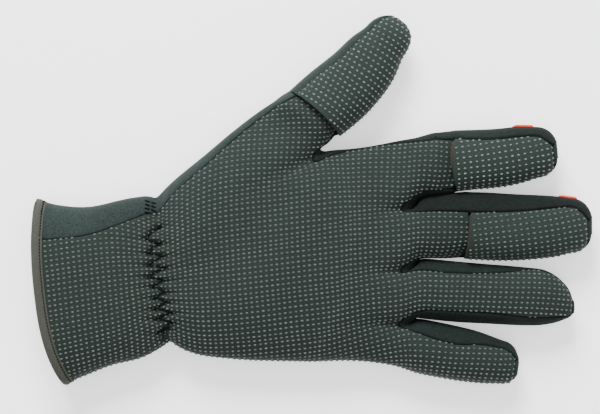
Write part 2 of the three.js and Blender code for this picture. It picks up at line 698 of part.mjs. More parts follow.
// A patch that lies over the skin of a finger between two of its rows
function patchGeometry(capRows, [first, last]) {
  const steps = 4;
  const columns = PATCH.columns;
  const lift = (section, by) => {
    const width = Math.hypot(section.rx - section.ux, section.ry - section.uy);
    const side = new THREE.Vector2((section.rx - section.ux) / width, (section.ry - section.uy) / width);
    return {
      ...section,
      rx: section.rx + side.x * by,
      ry: section.ry + side.y * by,
      ux: section.ux - side.x * by,
      uy: section.uy - side.y * by,
      low: section.low - by,
      top: section.top + by,
    };
  };
  const corners = [];
  for (const by of [SEAM_GAP + 0.15, SEAM_GAP + 0.15 + PATCH.thickness])
    for (let i = 0; i <= steps; i++) {
      const place = first + ((last - first) * i) / steps;
      const a = capRows[Math.floor(place)];
      const b = capRows[Math.ceil(place)];
      const section = Object.fromEntries(
        Object.keys(a).map((k) => [k, THREE.MathUtils.lerp(a[k], b[k], place % 1)]),
      );
      corners.push(...arc(lift(section, by), 360 + PATCH.to, 360 + PATCH.from, even(columns)));
    }
  const index = [];
  const row = columns + 1;
  const sheet = row * (steps + 1);
  const quad = (a, b, c, d) => index.push(a, c, b, a, d, c);
  for (let i = 0; i < steps; i++)
    for (let k = 0; k < columns; k++) {
      const a = i * row + k;
      quad(a, a + 1, a + row + 1, a + row);
      quad(sheet + a, sheet + a + row, sheet + a + row + 1, sheet + a + 1);
    }
  for (let i = 0; i < steps; i++) {
    const a = i * row;
    quad(a, a + row, a + row + sheet, a + sheet);
    quad(a + columns, a + columns + sheet, a + columns + row + sheet, a + columns + row);
  }
  for (let k = 0; k < columns; k++) {
    const b = steps * row + k;
    quad(k, k + sheet, k + 1 + sheet, k + 1);
    quad(b, b + 1, b + 1 + sheet, b + sheet);
  }
  return new THREE.BufferGeometry().setFromPoints(corners).setIndex(index);
}

// Materials, from the colours and sheen of the real glove
const grip = () => new THREE.MeshStandardMaterial({ color: 0x3f4c4a, roughness: 0.8 });
const neoprene = () => new THREE.MeshStandardMaterial({ color: 0x33423f, roughness: 0.9 });
const tape = () => new THREE.MeshStandardMaterial({ color: 0x565c58, roughness: 0.55 });
const rubber = () => new THREE.MeshStandardMaterial({ color: 0xf0471f, roughness: 0.5 });

const PANELS = [
  ["palm_panel", grip],
  ["thumb_cap", grip],
  ["index_cap", grip],
  ["middle_cap", grip],
  ["back_panel", neoprene],
  ["thumb_gusset", neoprene],
  ["index_middle_gusset", neoprene],
  ["middle_ring_gusset", neoprene],
  ["ring_little_gusset", neoprene],
];

const glove = new THREE.Group();
function add(name, geometry, material) {
  geometry.computeVertexNormals();
  const mesh = new THREE.Mesh(geometry, material());
  mesh.name = name;
  glove.add(mesh);
}
for (const [name, material] of PANELS) add(name, thicken(faces[name]), material);
add("cuff_binding", bindingGeometry(), tape);
add("index_patch", patchGeometry(INDEX_CAP_ROWS, PATCH_ROWS.index), rubber);
add("middle_patch", patchGeometry(MIDDLE_CAP_ROWS, PATCH_ROWS.middle), rubber);

export default glove;
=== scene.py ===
import math
import random

import bmesh
import bpy
import numpy as np
from mathutils import Matrix, Vector
from mathutils.bvhtree import BVHTree
from mathutils.kdtree import KDTree


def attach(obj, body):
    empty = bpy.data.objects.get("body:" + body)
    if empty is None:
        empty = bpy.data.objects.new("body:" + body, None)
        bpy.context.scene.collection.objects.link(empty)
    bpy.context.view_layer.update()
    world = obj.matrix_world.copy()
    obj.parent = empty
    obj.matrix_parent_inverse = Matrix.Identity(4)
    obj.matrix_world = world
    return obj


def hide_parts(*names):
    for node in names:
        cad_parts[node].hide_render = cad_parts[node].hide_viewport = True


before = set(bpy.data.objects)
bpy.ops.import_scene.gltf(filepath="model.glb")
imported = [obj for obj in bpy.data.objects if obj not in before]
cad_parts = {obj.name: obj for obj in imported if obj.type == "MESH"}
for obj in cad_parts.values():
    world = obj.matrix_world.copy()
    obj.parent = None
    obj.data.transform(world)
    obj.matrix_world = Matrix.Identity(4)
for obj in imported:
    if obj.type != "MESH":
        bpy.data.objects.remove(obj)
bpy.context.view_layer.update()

# Camera: straight down on the palm, as the glove lies in the photograph. A long lens keeps the
# fingertips as wide as they are, and the picture is 294 mm wide at the height of the palm.
PICTURE_WIDTH = 0.294
PICTURE_MIDDLE = (-0.0056, -0.00355)
PALM_HEIGHT = 0.026
LENS = 135
SENSOR = 36


def add_object(name, data):
    thing = bpy.data.objects.new(name, data)
    bpy.context.scene.collection.objects.link(thing)
    return thing


camera_data = bpy.data.cameras.new("camera")
camera_data.lens = LENS
camera_data.sensor_width = SENSOR
camera = add_object("camera", camera_data)
camera.location = (*PICTURE_MIDDLE, PALM_HEIGHT + PICTURE_WIDTH * LENS / SENSOR)
bpy.context.scene.camera = camera

# Sewn skin: nine panels of neoprene about 2.5 mm thick with a knit face, cut flat and sewn edge to
# edge, so that every seam sinks into a narrow valley. The palm and the three caps have grip dots.
# Sizes are in millimetres. Each row is a section across the hand or a finger, r its thumb-side end.
PANELS = [
    "palm_panel",
    "back_panel",
    "thumb_gusset",
    "index_middle_gusset",
    "middle_ring_gusset",
    "ring_little_gusset",
    "thumb_cap",
    "index_cap",
    "middle_cap",
]
WALL = 2.3
PALM_POWER = 2.3
BACK_POWER = 2.7
WIDEST_AT = 0.47
BOW_POWER = 2.5
CUFF_SKEW = 0.25
SEAM_HOLD = 0.95
SEAM_DEPTH = 1.4
THUMB_SEAM_DEPTH = 2.1
GROOVE_REACH = 1.4
GROOVE_DEPTH = 1.0
FINGER = 5
STRIP = 5
KNUCKLES = {
    "palm": [0.265, 0.015, 0.222, 0.015, 0.195, 0.015, 0.273],
    "back": [0.28, 0.015, 0.265, 0.015, 0.235, 0.015, 0.175],
}
THUMB_SHARE = 0.2
WEB_SHARE = 0.02
CAP_STEP = 1.3
TUCK = [3, 7.5]
THUMB_CROTCH = 14
TIP_SEAM = 25
TIP_SEAM_RISE = 0.45
HOLD_LIMIT = 0.45
KNUCKLE_WIDTH = 110
NOTCH_REACH = 1.15
NOTCH_ON_BACK = 0.6
DIP_FADE = 6
FOLD_FADE = 8
TUCK_CLEAR = 1.6
TUCK_TURN = 20
TUCK_HOLD = 0.08
EDGE_KEEP = 0.6
SLIT_POWER = 0.7
NICK_COLUMNS = 6
VALLEY_START = 0.15


def table(columns, rows):
    return [dict(zip(columns.split(), row)) for row in rows]


HAND = table(
    "rx ry ux uy bow low top palmR palmU backR dip lobe web",
    [
        (-135.5, 0.65, -122.0, -91.0, -6.0, 1.9, 33.0, 57, 210, -35, 0, 0, 0),
        (-129.7, -1.55, -115.6, -88.3, -5.8, 1.8, 32.2, 56, 210, -35, 0, 0, 0),
        (-120.4, -3.15, -107.0, -84.85, -5.5, 1.8, 31.2, 54, 210, -35, 0, 0, 0),
        (-108.5, -3.35, -97.0, -81.05, -4.0, 2.0, 29.8, 52, 210, -35, 0, 0, 0),
        (-96.0, -0.25, -86.0, -78.85, -3.0, 2.2, 28.2, 49, 210, -35, 0, 0, 0),
        (-85.0, 1.65, -76.5, -74.45, -2.5, 2.5, 26.4, 45, 210, -35, 0, 0, 0),
        (-80.2, 1.85, -72.6, -71.85, -2.3, 2.8, 25.2, 42, 210, -35, 0.3, 0, 0),
        (-77.2, 1.25, -70.0, -70.05, -2.2, 2.9, 24.6, 41, 210, -35, 1.0, 0, 0),
        (-74.4, 3.45, -67.6, -71.65, -2.0, 2.8, 25.4, 40, 210, -35, 0.3, 0, 0),
        (-69.8, 8.05, -63.0, -74.05, -1.0, 2.2, 27.4, 36, 210, -35, 0, 0, 0),
        (-62.5, 14.25, -55.5, -76.65, 1.0, 1.0, 29.2, 30, 210, -35, 0, 0, 0),
        (-53.0, 21.95, -45.0, -78.05, 6.0, 0.0, 30.4, 26, 210, -35, 0, 0, 0),
        (-42.5, 30.95, -32.0, -79.25, 13.0, -0.7, 31.2, 21, 210, -35, 0, 0, 0.6),
        (-33.0, 38.45, -20.0, -79.65, 21.0, -1.0, 31.4, 18, 210, -35, 0, 0, 2.0),
        (-23.7, 45.45, -8.0, -80.05, 29.0, -1.0, 31.0, 17, 210, -35, 0, 0, 5.5),
        (9.6, 24.6, -2.0, -80.05, 14.5, -1.0, 30.0, 17, 210, -32, 0, 0.3, 0),
        (19.0, 25.2, 8.0, -79.85, 9.5, -1.0, 29.2, 11, 210, -30, 0, 0.6, 0),
        (31.0, 26.85, 22.0, -79.65, 6.5, -1.0, 27.8, 9, 210, -26, 0, 1.6, 0),
        (43.5, 29.45, 42.0, -82.25, 2.5, -0.6, 26.4, 12, 210, -22, 0, 4.5, 0),
    ],
)
FINGER_COLUMNS = "rx ry ux uy bow low top palmR palmU backU backR"
THUMB_ROWS = table(FINGER_COLUMNS, [
    (-17.6, 49.4, 8.2, 27.5, 3.0, 0.6, 29.5, 42, 160, 222, -35),
    (-11.4, 53.6, 11.6, 32.2, 1.4, 1.6, 28.8, 45, 184, 214, -35),
])
THUMB_CAP_ROWS = table(FINGER_COLUMNS, [
    (-11.0, 53.95, 14.2, 31.4, 1.9, 1.8, 29.4, 44, 190, 212, -35),
    (-2.0, 61.9, 23.8, 39.0, 0.5, 2.2, 29.0, 42, 206, 206, -35),
    (5.8, 68.1, 30.6, 46.0, 0, 2.8, 28.2, 44, 206, 206, -35),
    (13.0, 74.0, 36.6, 53.4, 0, 3.4, 27.2, 46, 206, 206, -35),
    (19.6, 80.4, 41.6, 61.4, 0, 4.2, 26.0, 44, 206, 206, -35),
    (26.0, 84.8, 44.8, 69.8, 0, 5.2, 24.6, 44, 204, 204, -35),
])
INDEX_ROWS = table(FINGER_COLUMNS, [
    (52.6, 31.0, 52.6, 0.4, 0, -0.4, 25.2, 34, 143, 212, -12),
    (61.0, 33.2, 61.2, 1.95, 0, 0, 24.6, 40, 146, 211, -6),
    (61.6, 33.4, 61.8, 2.05, 0, 0, 24.6, 40, 146, 211, -6),
    (70.8, 34.2, 71.0, 3.45, -1.6, 0.2, 24.0, 46, 152, 210, -2),
])
INDEX_CAP_ROWS = table(FINGER_COLUMNS, [
    (71.6, 34.5, 72.0, 4.2, -2.2, 0.2, 24.8, 46, 170, 210, -2),
    (82.5, 34.8, 83.5, 5.5, 0, 0.6, 24.4, 52, 182, 211, 0),
    (92.5, 35.3, 94.0, 6.5, 0, 1.1, 23.8, 53, 191, 211, 0),
    (102.0, 36.3, 104.0, 8.4, 0, 1.9, 23.0, 54, 194, 211, 0),
    (109.6, 36.2, 112.0, 10.9, 0, 2.8, 22.2, 54, 192, 208, 0),
])
MIDDLE_ROWS = table(FINGER_COLUMNS, [
    (53.0, 0.8, 53.0, -29.3, 0, -0.4, 25.4, 58, 158, 214, -22),
    (63.5, 2.7, 63.5, -29.2, 0, 0, 24.9, 64, 175, 214, -14),
    (76.6, 3.9, 75.2, -28.9, 0.8, 0.2, 24.4, 68, 188, 214, -8),
])
MIDDLE_CAP_ROWS = table(FINGER_COLUMNS, [
    (77.6, 3.8, 76.0, -29.2, 1.4, 0.2, 25.2, 69, 189, 214, -6),
    (88.0, 3.6, 87.5, -29.8, 0, 0.5, 25.0, 68, 194, 214, -2),
    (99.5, 2.9, 99.5, -30.0, 0, 1.0, 24.4, 65, 194, 214, 0),
    (112.0, 2.4, 112.0, -29.2, 0, 1.7, 23.6, 60, 194, 214, 2),
    (121.8, 1.8, 121.8, -28.0, 0, 2.5, 22.8, 54, 192, 212, 2),
    (128.2, 0.9, 128.2, -26.4, 0, 3.2, 22.0, 50, 190, 208, 0),
])
RING_ROWS = table(FINGER_COLUMNS, [
    (53.0, -29.2, 53.0, -58.8, 0, -0.4, 24.6, 50, 133, 208, -30),
    (63.5, -29.8, 63.5, -59.9, 0, 0, 24.1, 54, 127, 206, -28),
    (75.0, -30.8, 75.0, -60.9, 0, 0.3, 23.6, 51, 125, 204, -26),
    (87.5, -31.9, 87.5, -61.5, 0, 0.7, 23.1, 47, 125, 204, -24),
    (99.5, -32.8, 99.5, -62.2, 0, 1.3, 22.5, 34, 129, 204, -20),
    (109.5, -33.8, 109.5, -62.4, 0, 2.0, 21.9, 18, 132, 202, -16),
])
LITTLE_ROWS = table(FINGER_COLUMNS, [
    (51.6, -58.8, 50.5, -85.4, 0, -0.3, 23.6, 60, 210, 210, -32),
    (63.0, -60.7, 61.0, -87.6, 0, 0.2, 23.1, 70, 210, 210, -26),
    (73.0, -62.8, 71.0, -89.4, 0, 0.5, 22.6, 72, 210, 210, -22),
    (81.8, -65.0, 79.0, -90.4, 0, 1.0, 22.0, 62, 210, 210, -20),
    (89.0, -67.5, 86.0, -91.0, 0, 1.6, 21.3, 54, 210, 210, -18),
    (95.0, -69.8, 92.0, -91.0, 0, 2.3, 20.5, 50, 208, 208, -16),
])
# How far each fingertip reaches and leans, how it closes, and how far its corner seam is cut
TIPS = {
    "thumb": (14.6, -0.8, 0.76, 0),
    "index": (11.3, 0.6, 0.74, 40),
    "middle": (11.0, 0.4, 0.74, 40),
    "ring": (21.2, -6.8, 1.1, 0),
    "little": (9.6, -2.6, 0.78, 25),
}
DOME = [
    (15, 0.03, 0.15), (30, 0.1, 0.42), (43, 0.3, 0.75), (55, 0.6, 1), (66, 0.85, 0.6), (75, 1, 0),
]
LIP_ROWS = 3
FOLDS = [
    ((4, 17), (-52, -34), 2.2, 13),
    ((10, -8), (-8, -62), 0.9, 10),
    ((-2, 30), (-30, 33), 0.8, 7),
]


def plan_axes(row):
    thumb_end = np.array([row["rx"], row["ry"]])
    other_end = np.array([row["ux"], row["uy"]])
    width = np.linalg.norm(thumb_end - other_end)
    side = (thumb_end - other_end) / width
    return (thumb_end + other_end) / 2, side, np.array([side[1], -side[0]]), width


def around(row, angles):
    middle, side, along, width = plan_axes(row)
    turn = np.radians(angles)
    cos, sin = np.cos(turn), np.sin(turn)
    power = np.where(sin >= 0, 2 / PALM_POWER, 2 / BACK_POWER)
    across = np.sign(cos) * np.abs(cos) ** power
    rise = np.sign(sin) * np.abs(sin) ** power
    widest = row["low"] + (row["top"] - row["low"]) * WIDEST_AT
    height = np.where(sin >= 0, row["top"] - widest, widest - row["low"])
    skew = 1 - CUFF_SKEW * across if row["bow"] < 0 else 1
    bow = row["bow"] * skew * (1 - np.abs(across) ** BOW_POWER)
    flat = middle + np.outer(across * width / 2, side) + np.outer(bow, along)
    return np.column_stack([flat, widest + rise * height])


# Shares of a strip of cloth, with a close line inside each seam that keeps its valley narrow
def held(start, end, count, hold):
    step = (end - start) / count
    hold = min(hold, step * HOLD_LIMIT)
    inner = [start + step * k for k in range(1, count)]
    return [start + hold, *inner, end - hold, end]


def arc(row, start, end, shares):
    trace = around(row, np.linspace(start, end, 73))
    run = np.concatenate([[0], np.cumsum(np.linalg.norm(np.diff(trace, axis=0), axis=1))])
    if isinstance(shares, int):
        shares = [0, *held(0, 1, shares, SEAM_HOLD / max(run[-1], 1e-3))]
    aims = np.asarray(shares) * run[-1]
    return np.column_stack([np.interp(aims, run, trace[:, k]) for k in range(3)])


def hand_shares(face, shared):
    widths = KNUCKLES[face]
    if shared:
        rest = 1 - THUMB_SHARE - WEB_SHARE
        widths = [THUMB_SHARE, WEB_SHARE, *(width * rest for width in widths)]
    shares = [0]
    places = [0]
    for n, width in enumerate(widths):
        start, column = shares[-1], places[-1]
        if n % 2:
            shares.append(start + width)
            places.append(column + 1)
        else:
            block = held(start, start + width, FINGER, SEAM_HOLD / KNUCKLE_WIDTH)
            shares += block
            places += [column + FINGER * (share - start) / width for share in block]
    return np.array(shares), np.array(places)


def from_line(points, start, end):
    a, b = np.array(start), np.array(end)
    share = np.clip((points - a) @ (b - a) / ((b - a) @ (b - a)), 0, 1)
    return np.linalg.norm(points - a - np.outer(share, b - a), axis=1)


def fold_depth(points):
    total = np.zeros(len(points))
    for start, end, depth, width in FOLDS:
        total += depth * np.exp(-((from_line(points[:, :2], start, end) / width) ** 2))
    return total


def near(places, notches):
    return np.max([np.exp(-(((places - notch) / NOTCH_REACH) ** 2)) for notch in notches], axis=0)


# What the elastic, the folds and the crotches do to a row of points of the hand
def settle(points, row, places, palm_side, shared):
    notches = [n * (FINGER + 1) - 0.5 + (FINGER + 1 if shared else 0) for n in (1, 2, 3)]
    valley = row["lobe"] * near(places, notches)
    if shared:
        valley += row["web"] * near(places, [FINGER + 0.5])
    height = points[:, 2] - (row["low"] + row["top"]) / 2
    points[:, 2] -= row["dip"] * np.clip(height / DIP_FADE, -1, 1)
    if palm_side:
        points[:, 2] -= valley + fold_depth(points) * np.clip(height / FOLD_FADE, 0, 1)
    else:
        points[:, 2] += valley * NOTCH_ON_BACK
    points[:, 2] = np.maximum(points[:, 2], 0)
    return points


skin = bmesh.new()
spread = skin.verts.layers.float_vector.new("spread")


# Lays one patch of cloth over rows of points. A dotted patch also keeps where its points come
# when the cloth is spread flat, row by row from the middle of each row.
def lay(panel, rows, sections=None, leave_out=None):
    across, along = len(rows[0]) - 1, len(rows) - 1
    new = bmesh.ops.create_grid(skin, x_segments=across, y_segments=along, size=1)["verts"]
    for n, vert in enumerate(new):
        i, k = divmod(n, across + 1)
        vert.co = rows[i][k]
        vert[spread] = rows[i][k]
    faces = list({face for vert in new for face in vert.link_faces})
    for face in faces:
        face.material_index = PANELS.index(panel)
    if sections:
        for i, section in enumerate(sections):
            middle, side, ahead, _ = plan_axes(section)
            row = np.asarray(rows[i])
            steps = np.linalg.norm(np.diff(row, axis=0), axis=1)
            run = np.concatenate([[0], np.cumsum(steps)])
            centre = int(np.argmin(np.abs((row[:, :2] - middle) @ side)))
            for k in range(across + 1):
                out = run[centre] - run[k]
                forward = (row[k, :2] - row[centre, :2]) @ ahead
                flat = row[centre, :2] + side * out + ahead * forward
                new[i * (across + 1) + k][spread] = (*flat, 0)
    if leave_out:
        gone = [f for f in faces if leave_out(f.calc_center_median())]
        bmesh.ops.delete(skin, geom=gone, context="FACES_ONLY")


hand_palm, hand_back, hand_wrap = [], [], []
for i, row in enumerate(HAND):
    shared = i <= THUMB_CROTCH
    palm_shares, palm_places = hand_shares("palm", shared)
    back_shares, back_places = hand_shares("back", shared)
    palm = arc(row, row["palmR"], row["palmU"], palm_shares)
    back = arc(row, row["palmU"], 360 + row["backR"], 1 - back_shares[::-1])
    wrap = arc(row, 360 + row["backR"], 360 + row["palmR"], STRIP)
    settle(palm, row, palm_places, True, shared)
    settle(back, row, back_places[::-1], False, shared)
    settle(wrap, row, np.full(len(wrap), -9.0), False, shared)
    back[0], wrap[0], wrap[-1] = palm[-1], back[-1], palm[0]
    hand_palm.append(palm)
    hand_back.append(back)
    hand_wrap.append(wrap)

SPAN = FINGER + 2
FIRST_FINGER = SPAN + 1
FINGER_POINTS = len(hand_palm[-1])
last_shared = THUMB_CROTCH + 1
lay("palm_panel", hand_palm[:last_shared], HAND[:last_shared])
lay("back_panel", hand_back[:last_shared])
lay("back_panel", hand_wrap[:last_shared])
crotch_palm, crotch_back = hand_palm[THUMB_CROTCH], hand_back[THUMB_CROTCH]
palm_on = [crotch_palm[FIRST_FINGER:], *hand_palm[last_shared:]]
back_on = [crotch_back[:FINGER_POINTS], *hand_back[last_shared:]]
lay("palm_panel", palm_on, HAND[THUMB_CROTCH:])
lay("back_panel", back_on)


def crotch_wall(palm_point, back_point, bend):
    shares = np.array([0, *held(0, 1, STRIP, 0.1)])
    line = palm_point + np.outer(shares, back_point - palm_point)
    return line + np.outer(np.clip(3 * np.minimum(shares, 1 - shares), 0, 1), bend)


def fourchette(panel, palm_row, back_row, column, bend):
    mirror = len(back_row) - 1 - column
    near_wall = crotch_wall(palm_row[column], back_row[mirror], bend)
    far_wall = crotch_wall(palm_row[column + 1], back_row[mirror - 1], bend)
    lay(panel, [far_wall, near_wall])
    return near_wall, far_wall


thumb_near, thumb_far = fourchette("thumb_gusset", crotch_palm, crotch_back, SPAN, (2.4, 5.6, 0))
last_palm, last_back = palm_on[-1], back_on[-1]
GUSSETS = ["index_middle_gusset", "middle_ring_gusset", "ring_little_gusset"]
crotches = [
    fourchette(name, last_palm, last_back, n * FIRST_FINGER + SPAN, (7.5, 0, 0))
    for n, name in enumerate(GUSSETS)
]
index_walls = [thumb_far[::-1]]
for i, row in enumerate(HAND[last_shared:]):
    wall = arc(row, 360 + row["backR"], 360 + row["palmR"], STRIP)
    wall[0], wall[-1] = back_on[i + 1][-1], palm_on[i + 1][0]
    index_walls.append(wall)
lay("thumb_gusset", index_walls)


def ring(row):
    widest = row["low"] + (row["top"] - row["low"]) * WIDEST_AT
    turns = [row["palmR"], row["palmU"], row["backU"], 360 + row["backR"], 360 + row["palmR"]]
    parts = []
    for start, end, count in zip(turns, turns[1:], (FINGER, STRIP, FINGER, STRIP)):
        part = arc(row, start, end, count)
        part[:, 2] -= fold_depth(part) * np.clip((part[:, 2] - widest) / FOLD_FADE, 0, 1)
        part[:, 2] = np.maximum(part[:, 2], 0)
        parts.append(part)
    return dict(zip(("palm", "under", "back", "over"), parts))


# The dome over a fingertip: the section shrinks as it turns over, and its seams close in
def dome(row, tip):
    reach, lean, power, corner = tip
    middle, side, along, width = plan_axes(row)
    widest = row["low"] + (row["top"] - row["low"]) * WIDEST_AT
    far_seam = 180 - TIP_SEAM
    seams = {"palmR": TIP_SEAM, "palmU": far_seam, "backU": far_seam, "backR": TIP_SEAM}
    rows = []
    for turn, blend, cut in DOME:
        angle = math.radians(turn)
        scale = math.cos(angle) ** power
        centre = middle + along * reach * math.sin(angle) + side * lean * (1 - math.cos(angle))
        section = {key: row[key] + (aim - row[key]) * blend for key, aim in seams.items()}
        section["palmR"] += corner * cut
        section["rx"], section["ry"] = centre + side * width / 2 * scale
        section["ux"], section["uy"] = centre - side * width / 2 * scale
        section["low"] = widest - (widest - row["low"]) * scale
        section["top"] = widest + (row["top"] - widest) * scale
        section["bow"] = 0
        rows.append(section)
    rings = [ring(section) for section in rows]
    last = rings[-1]
    nose = along * reach * (1 - math.sin(math.radians(DOME[-1][0])))
    seam = (last["palm"] + last["back"][::-1]) / 2
    seam[:, :2] += nose
    seam[:, 2] = widest + (rows[-1]["top"] - widest) * TIP_SEAM_RISE
    seam[0], seam[-1] = last["palm"][0], last["palm"][-1]
    return rows, rings, seam


def blend_rows(first, second, share):
    return {key: first[key] + (second[key] - first[key]) * share for key in first}


# Moves both ends of a section outwards in the plan
def widen(row, by):
    _, side, _, _ = plan_axes(row)
    row["rx"], row["ry"] = np.array([row["rx"], row["ry"]]) + side * by
    row["ux"], row["uy"] = np.array([row["ux"], row["uy"]]) - side * by


# Under a cap the finger's palm side dips and runs on inside, clear of the cap
def tuck(stub, cap_rows):
    clear = WALL + TUCK_CLEAR
    first, second = cap_rows[:2]

    def strip(share):
        row = blend_rows(first, second, share)
        widen(row, -clear)
        row["top"], row["low"] = row["top"] - clear, row["low"] + clear
        shares = np.array([0, *held(0, 1, FINGER, TUCK_HOLD)])
        return arc(row, first["palmR"] + TUCK_TURN, first["palmU"] - TUCK_TURN, shares)

    length = math.dist(plan_axes(first)[0], plan_axes(second)[0])
    dipped = strip(0)
    palm = stub["palm"]
    palm[2:-2] = dipped[2:-2]
    for edge, inner in ((0, 1), (-1, -2)):
        palm[inner] = palm[edge] * EDGE_KEEP + dipped[inner] * (1 - EDGE_KEEP)
    rows = [strip(reach / length) for reach in TUCK]
    lay("palm_panel", [stub["palm"][1:-1], *(row[1:-1] for row in rows)], [cap_rows[0]] * 3)


def finger(name, root, rows, cap_rows, under, over, cap=None, nick=False):
    plain = [root, *(ring(row) for row in rows)]
    capped = [ring(row) for row in cap_rows]
    tip_rows, tip_rings, seam = dome((cap_rows or rows)[-1], TIPS[name])
    if cap:
        tuck(plain[-1], cap_rows)
        slit = capped[0]["palm"]
        slit[:, 2] += CAP_STEP * np.sin(np.linspace(0, np.pi, len(slit))) ** SLIT_POWER
    whole = [*plain, *capped, *tip_rings]
    lip = len(whole) - (1 if name in ("thumb", "ring") else LIP_ROWS)
    crotch = THUMB_CROTCH if name == "thumb" else -1
    lay("palm_panel", [r["palm"] for r in plain], [HAND[crotch], *rows])
    for key, panel in (("under", under), ("back", "back_panel"), ("over", over)):
        if key == "over" and nick:
            lay(panel, [r[key] for r in whole[:3]])
            lay(panel, [r[key][:NICK_COLUMNS] for r in whole[2:4]])
            lay(panel, [r[key] for r in whole[3:]])
        else:
            lay(panel, [r[key] for r in whole])
    start = len(plain) if cap else len(plain) - 1
    palm_rows = [r["palm"] for r in whole[start:lip + 1]]
    sections = (cap_rows if cap else rows[-1:]) + tip_rows
    lay(cap or "palm_panel", palm_rows, sections[:len(palm_rows)])
    lay("back_panel", [r["palm"] for r in whole[lip:]] + [seam])
    lay("back_panel", [whole[-1]["back"], seam[::-1]])


def root_ring(start, under, over):
    mirror = len(last_back) - 1 - start - SPAN
    return {
        "palm": last_palm[start:start + SPAN + 1].copy(),
        "back": last_back[mirror:mirror + SPAN + 1],
        "under": under,
        "over": over,
    }


little_edge = np.repeat(last_palm[-1:], STRIP + 3, axis=0)
finger("thumb", {
    "palm": crotch_palm[:SPAN + 1].copy(),
    "back": crotch_back[FINGER_POINTS:],
    "under": thumb_near,
    "over": hand_wrap[THUMB_CROTCH],
}, THUMB_ROWS, THUMB_CAP_ROWS, "thumb_gusset", "back_panel", "thumb_cap", True)
finger("index", root_ring(0, crotches[0][0], index_walls[-1]), INDEX_ROWS, INDEX_CAP_ROWS,
       "index_middle_gusset", "thumb_gusset", "index_cap", True)
finger("middle", root_ring(FIRST_FINGER, crotches[1][0], crotches[0][1][::-1]), MIDDLE_ROWS,
       MIDDLE_CAP_ROWS, "middle_ring_gusset", "index_middle_gusset", "middle_cap")
finger("ring", root_ring(2 * FIRST_FINGER, crotches[2][0], crotches[1][1][::-1]), RING_ROWS, [],
       "ring_little_gusset", "middle_ring_gusset")
finger("little", root_ring(3 * FIRST_FINGER, little_edge, crotches[2][1][::-1]), LITTLE_ROWS, [],
       "back_panel", "ring_little_gusset")

bmesh.ops.remove_doubles(skin, verts=skin.verts, dist=0.02)
bmesh.ops.dissolve_degenerate(skin, edges=skin.edges, dist=0.005)
skin.normal_update()
crease = skin.edges.layers.float.new("crease_edge")
seam_verts = set()
for edge in skin.edges:
    if len({face.material_index for face in edge.link_faces}) > 1:
        edge[crease] = 1
        seam_verts.update(edge.verts)
shifts = {}
thumb_cap_number = PANELS.index("thumb_cap")
for vert in seam_verts:
    beside = [edge.calc_length() for edge in vert.link_edges if edge[crease] == 0]
    room = min(beside) if beside else 0
    on_thumb = any(face.material_index == thumb_cap_number for face in vert.link_faces)
    depth = THUMB_SEAM_DEPTH if on_thumb else SEAM_DEPTH
    shifts[vert] = vert.normal * depth * min(1, max(0, room / SEAM_HOLD - VALLEY_START))
groove_verts = set()
for vert in seam_verts:
    if any(face.material_index == thumb_cap_number for face in vert.link_faces):
        for edge in vert.link_edges:
            other = edge.other_vert(vert)
            panels = {face.material_index for face in other.link_faces}
            if edge.calc_length() < GROOVE_REACH and panels == {PANELS.index("back_panel")}:
                groove_verts.add(other)
for vert in groove_verts - seam_verts:
    shifts[vert] = vert.normal * GROOVE_DEPTH
for vert, shift in shifts.items():
    vert.co -= shift

# The printed cloth is spread flat the way a pattern cutter does it: each dotted panel is unwrapped
# with the least stretch, after the gathers at the wrist are let out, and laid over the plan again.
GATHER_FULLNESS = 0.38
GATHER_X = -76
GATHER_REACH = 13
GATHER_MIDDLE = -42
# The ring and little finger were sewn a little across the print, so their rows of dots turn
TURN_START = 38
TURN_END = 85
TURN_WINDOW = 8
TURN_REACH = 120
TURNS = {
    "ring": [(0, 0), (20, 10), (42, 16), (70, 18)],
    "little": [(0, 0), (20, 27), (36, 37), (52, 43)],
}
RING_TOP = (53, -29.2, -0.03)
RING_BOTTOM = (50, -58.8, -0.115)


def turn_fingers(keys, flat):
    x, y = np.array([key[:2] for key in keys]).T
    above_ring = RING_TOP[1] + RING_TOP[2] * (x - RING_TOP[0])
    below_ring = RING_BOTTOM[1] + RING_BOTTOM[2] * np.clip(x - RING_BOTTOM[0], 0, None)
    which = {"ring": (y < above_ring) & (y > below_ring), "little": y <= below_ring}
    for name, chosen in which.items():
        root = flat[chosen & (np.abs(x - TURN_START) < TURN_WINDOW)].mean()
        ahead = flat[chosen & (np.abs(x - TURN_END) < TURN_WINDOW)].mean() - root
        ahead /= abs(ahead)
        own = (flat - root) / ahead
        chosen = chosen & (own.real > 0) & (x > TURN_START - 3)
        steps = np.linspace(0, TURN_REACH, 2 * TURN_REACH + 1)
        reach, degrees = np.array(TURNS[name]).T
        turn = np.exp(1j * np.radians(np.interp(steps, reach, degrees)))
        line = np.concatenate([[0], np.cumsum((turn[1:] + turn[:-1]) / 2 * np.diff(steps))])
        there = own.real[chosen]
        middle = np.interp(there, steps, line.real) + 1j * np.interp(there, steps, line.imag)
        turned = np.interp(there, steps, turn.real) + 1j * np.interp(there, steps, turn.imag)
        flat[chosen] = root + ahead * (middle + 1j * own.imag[chosen] * turned)


def from_bmesh(name, bm):
    mesh = bpy.data.meshes.new(name)
    bm.to_mesh(mesh)
    bm.free()
    return add_object(name, mesh)


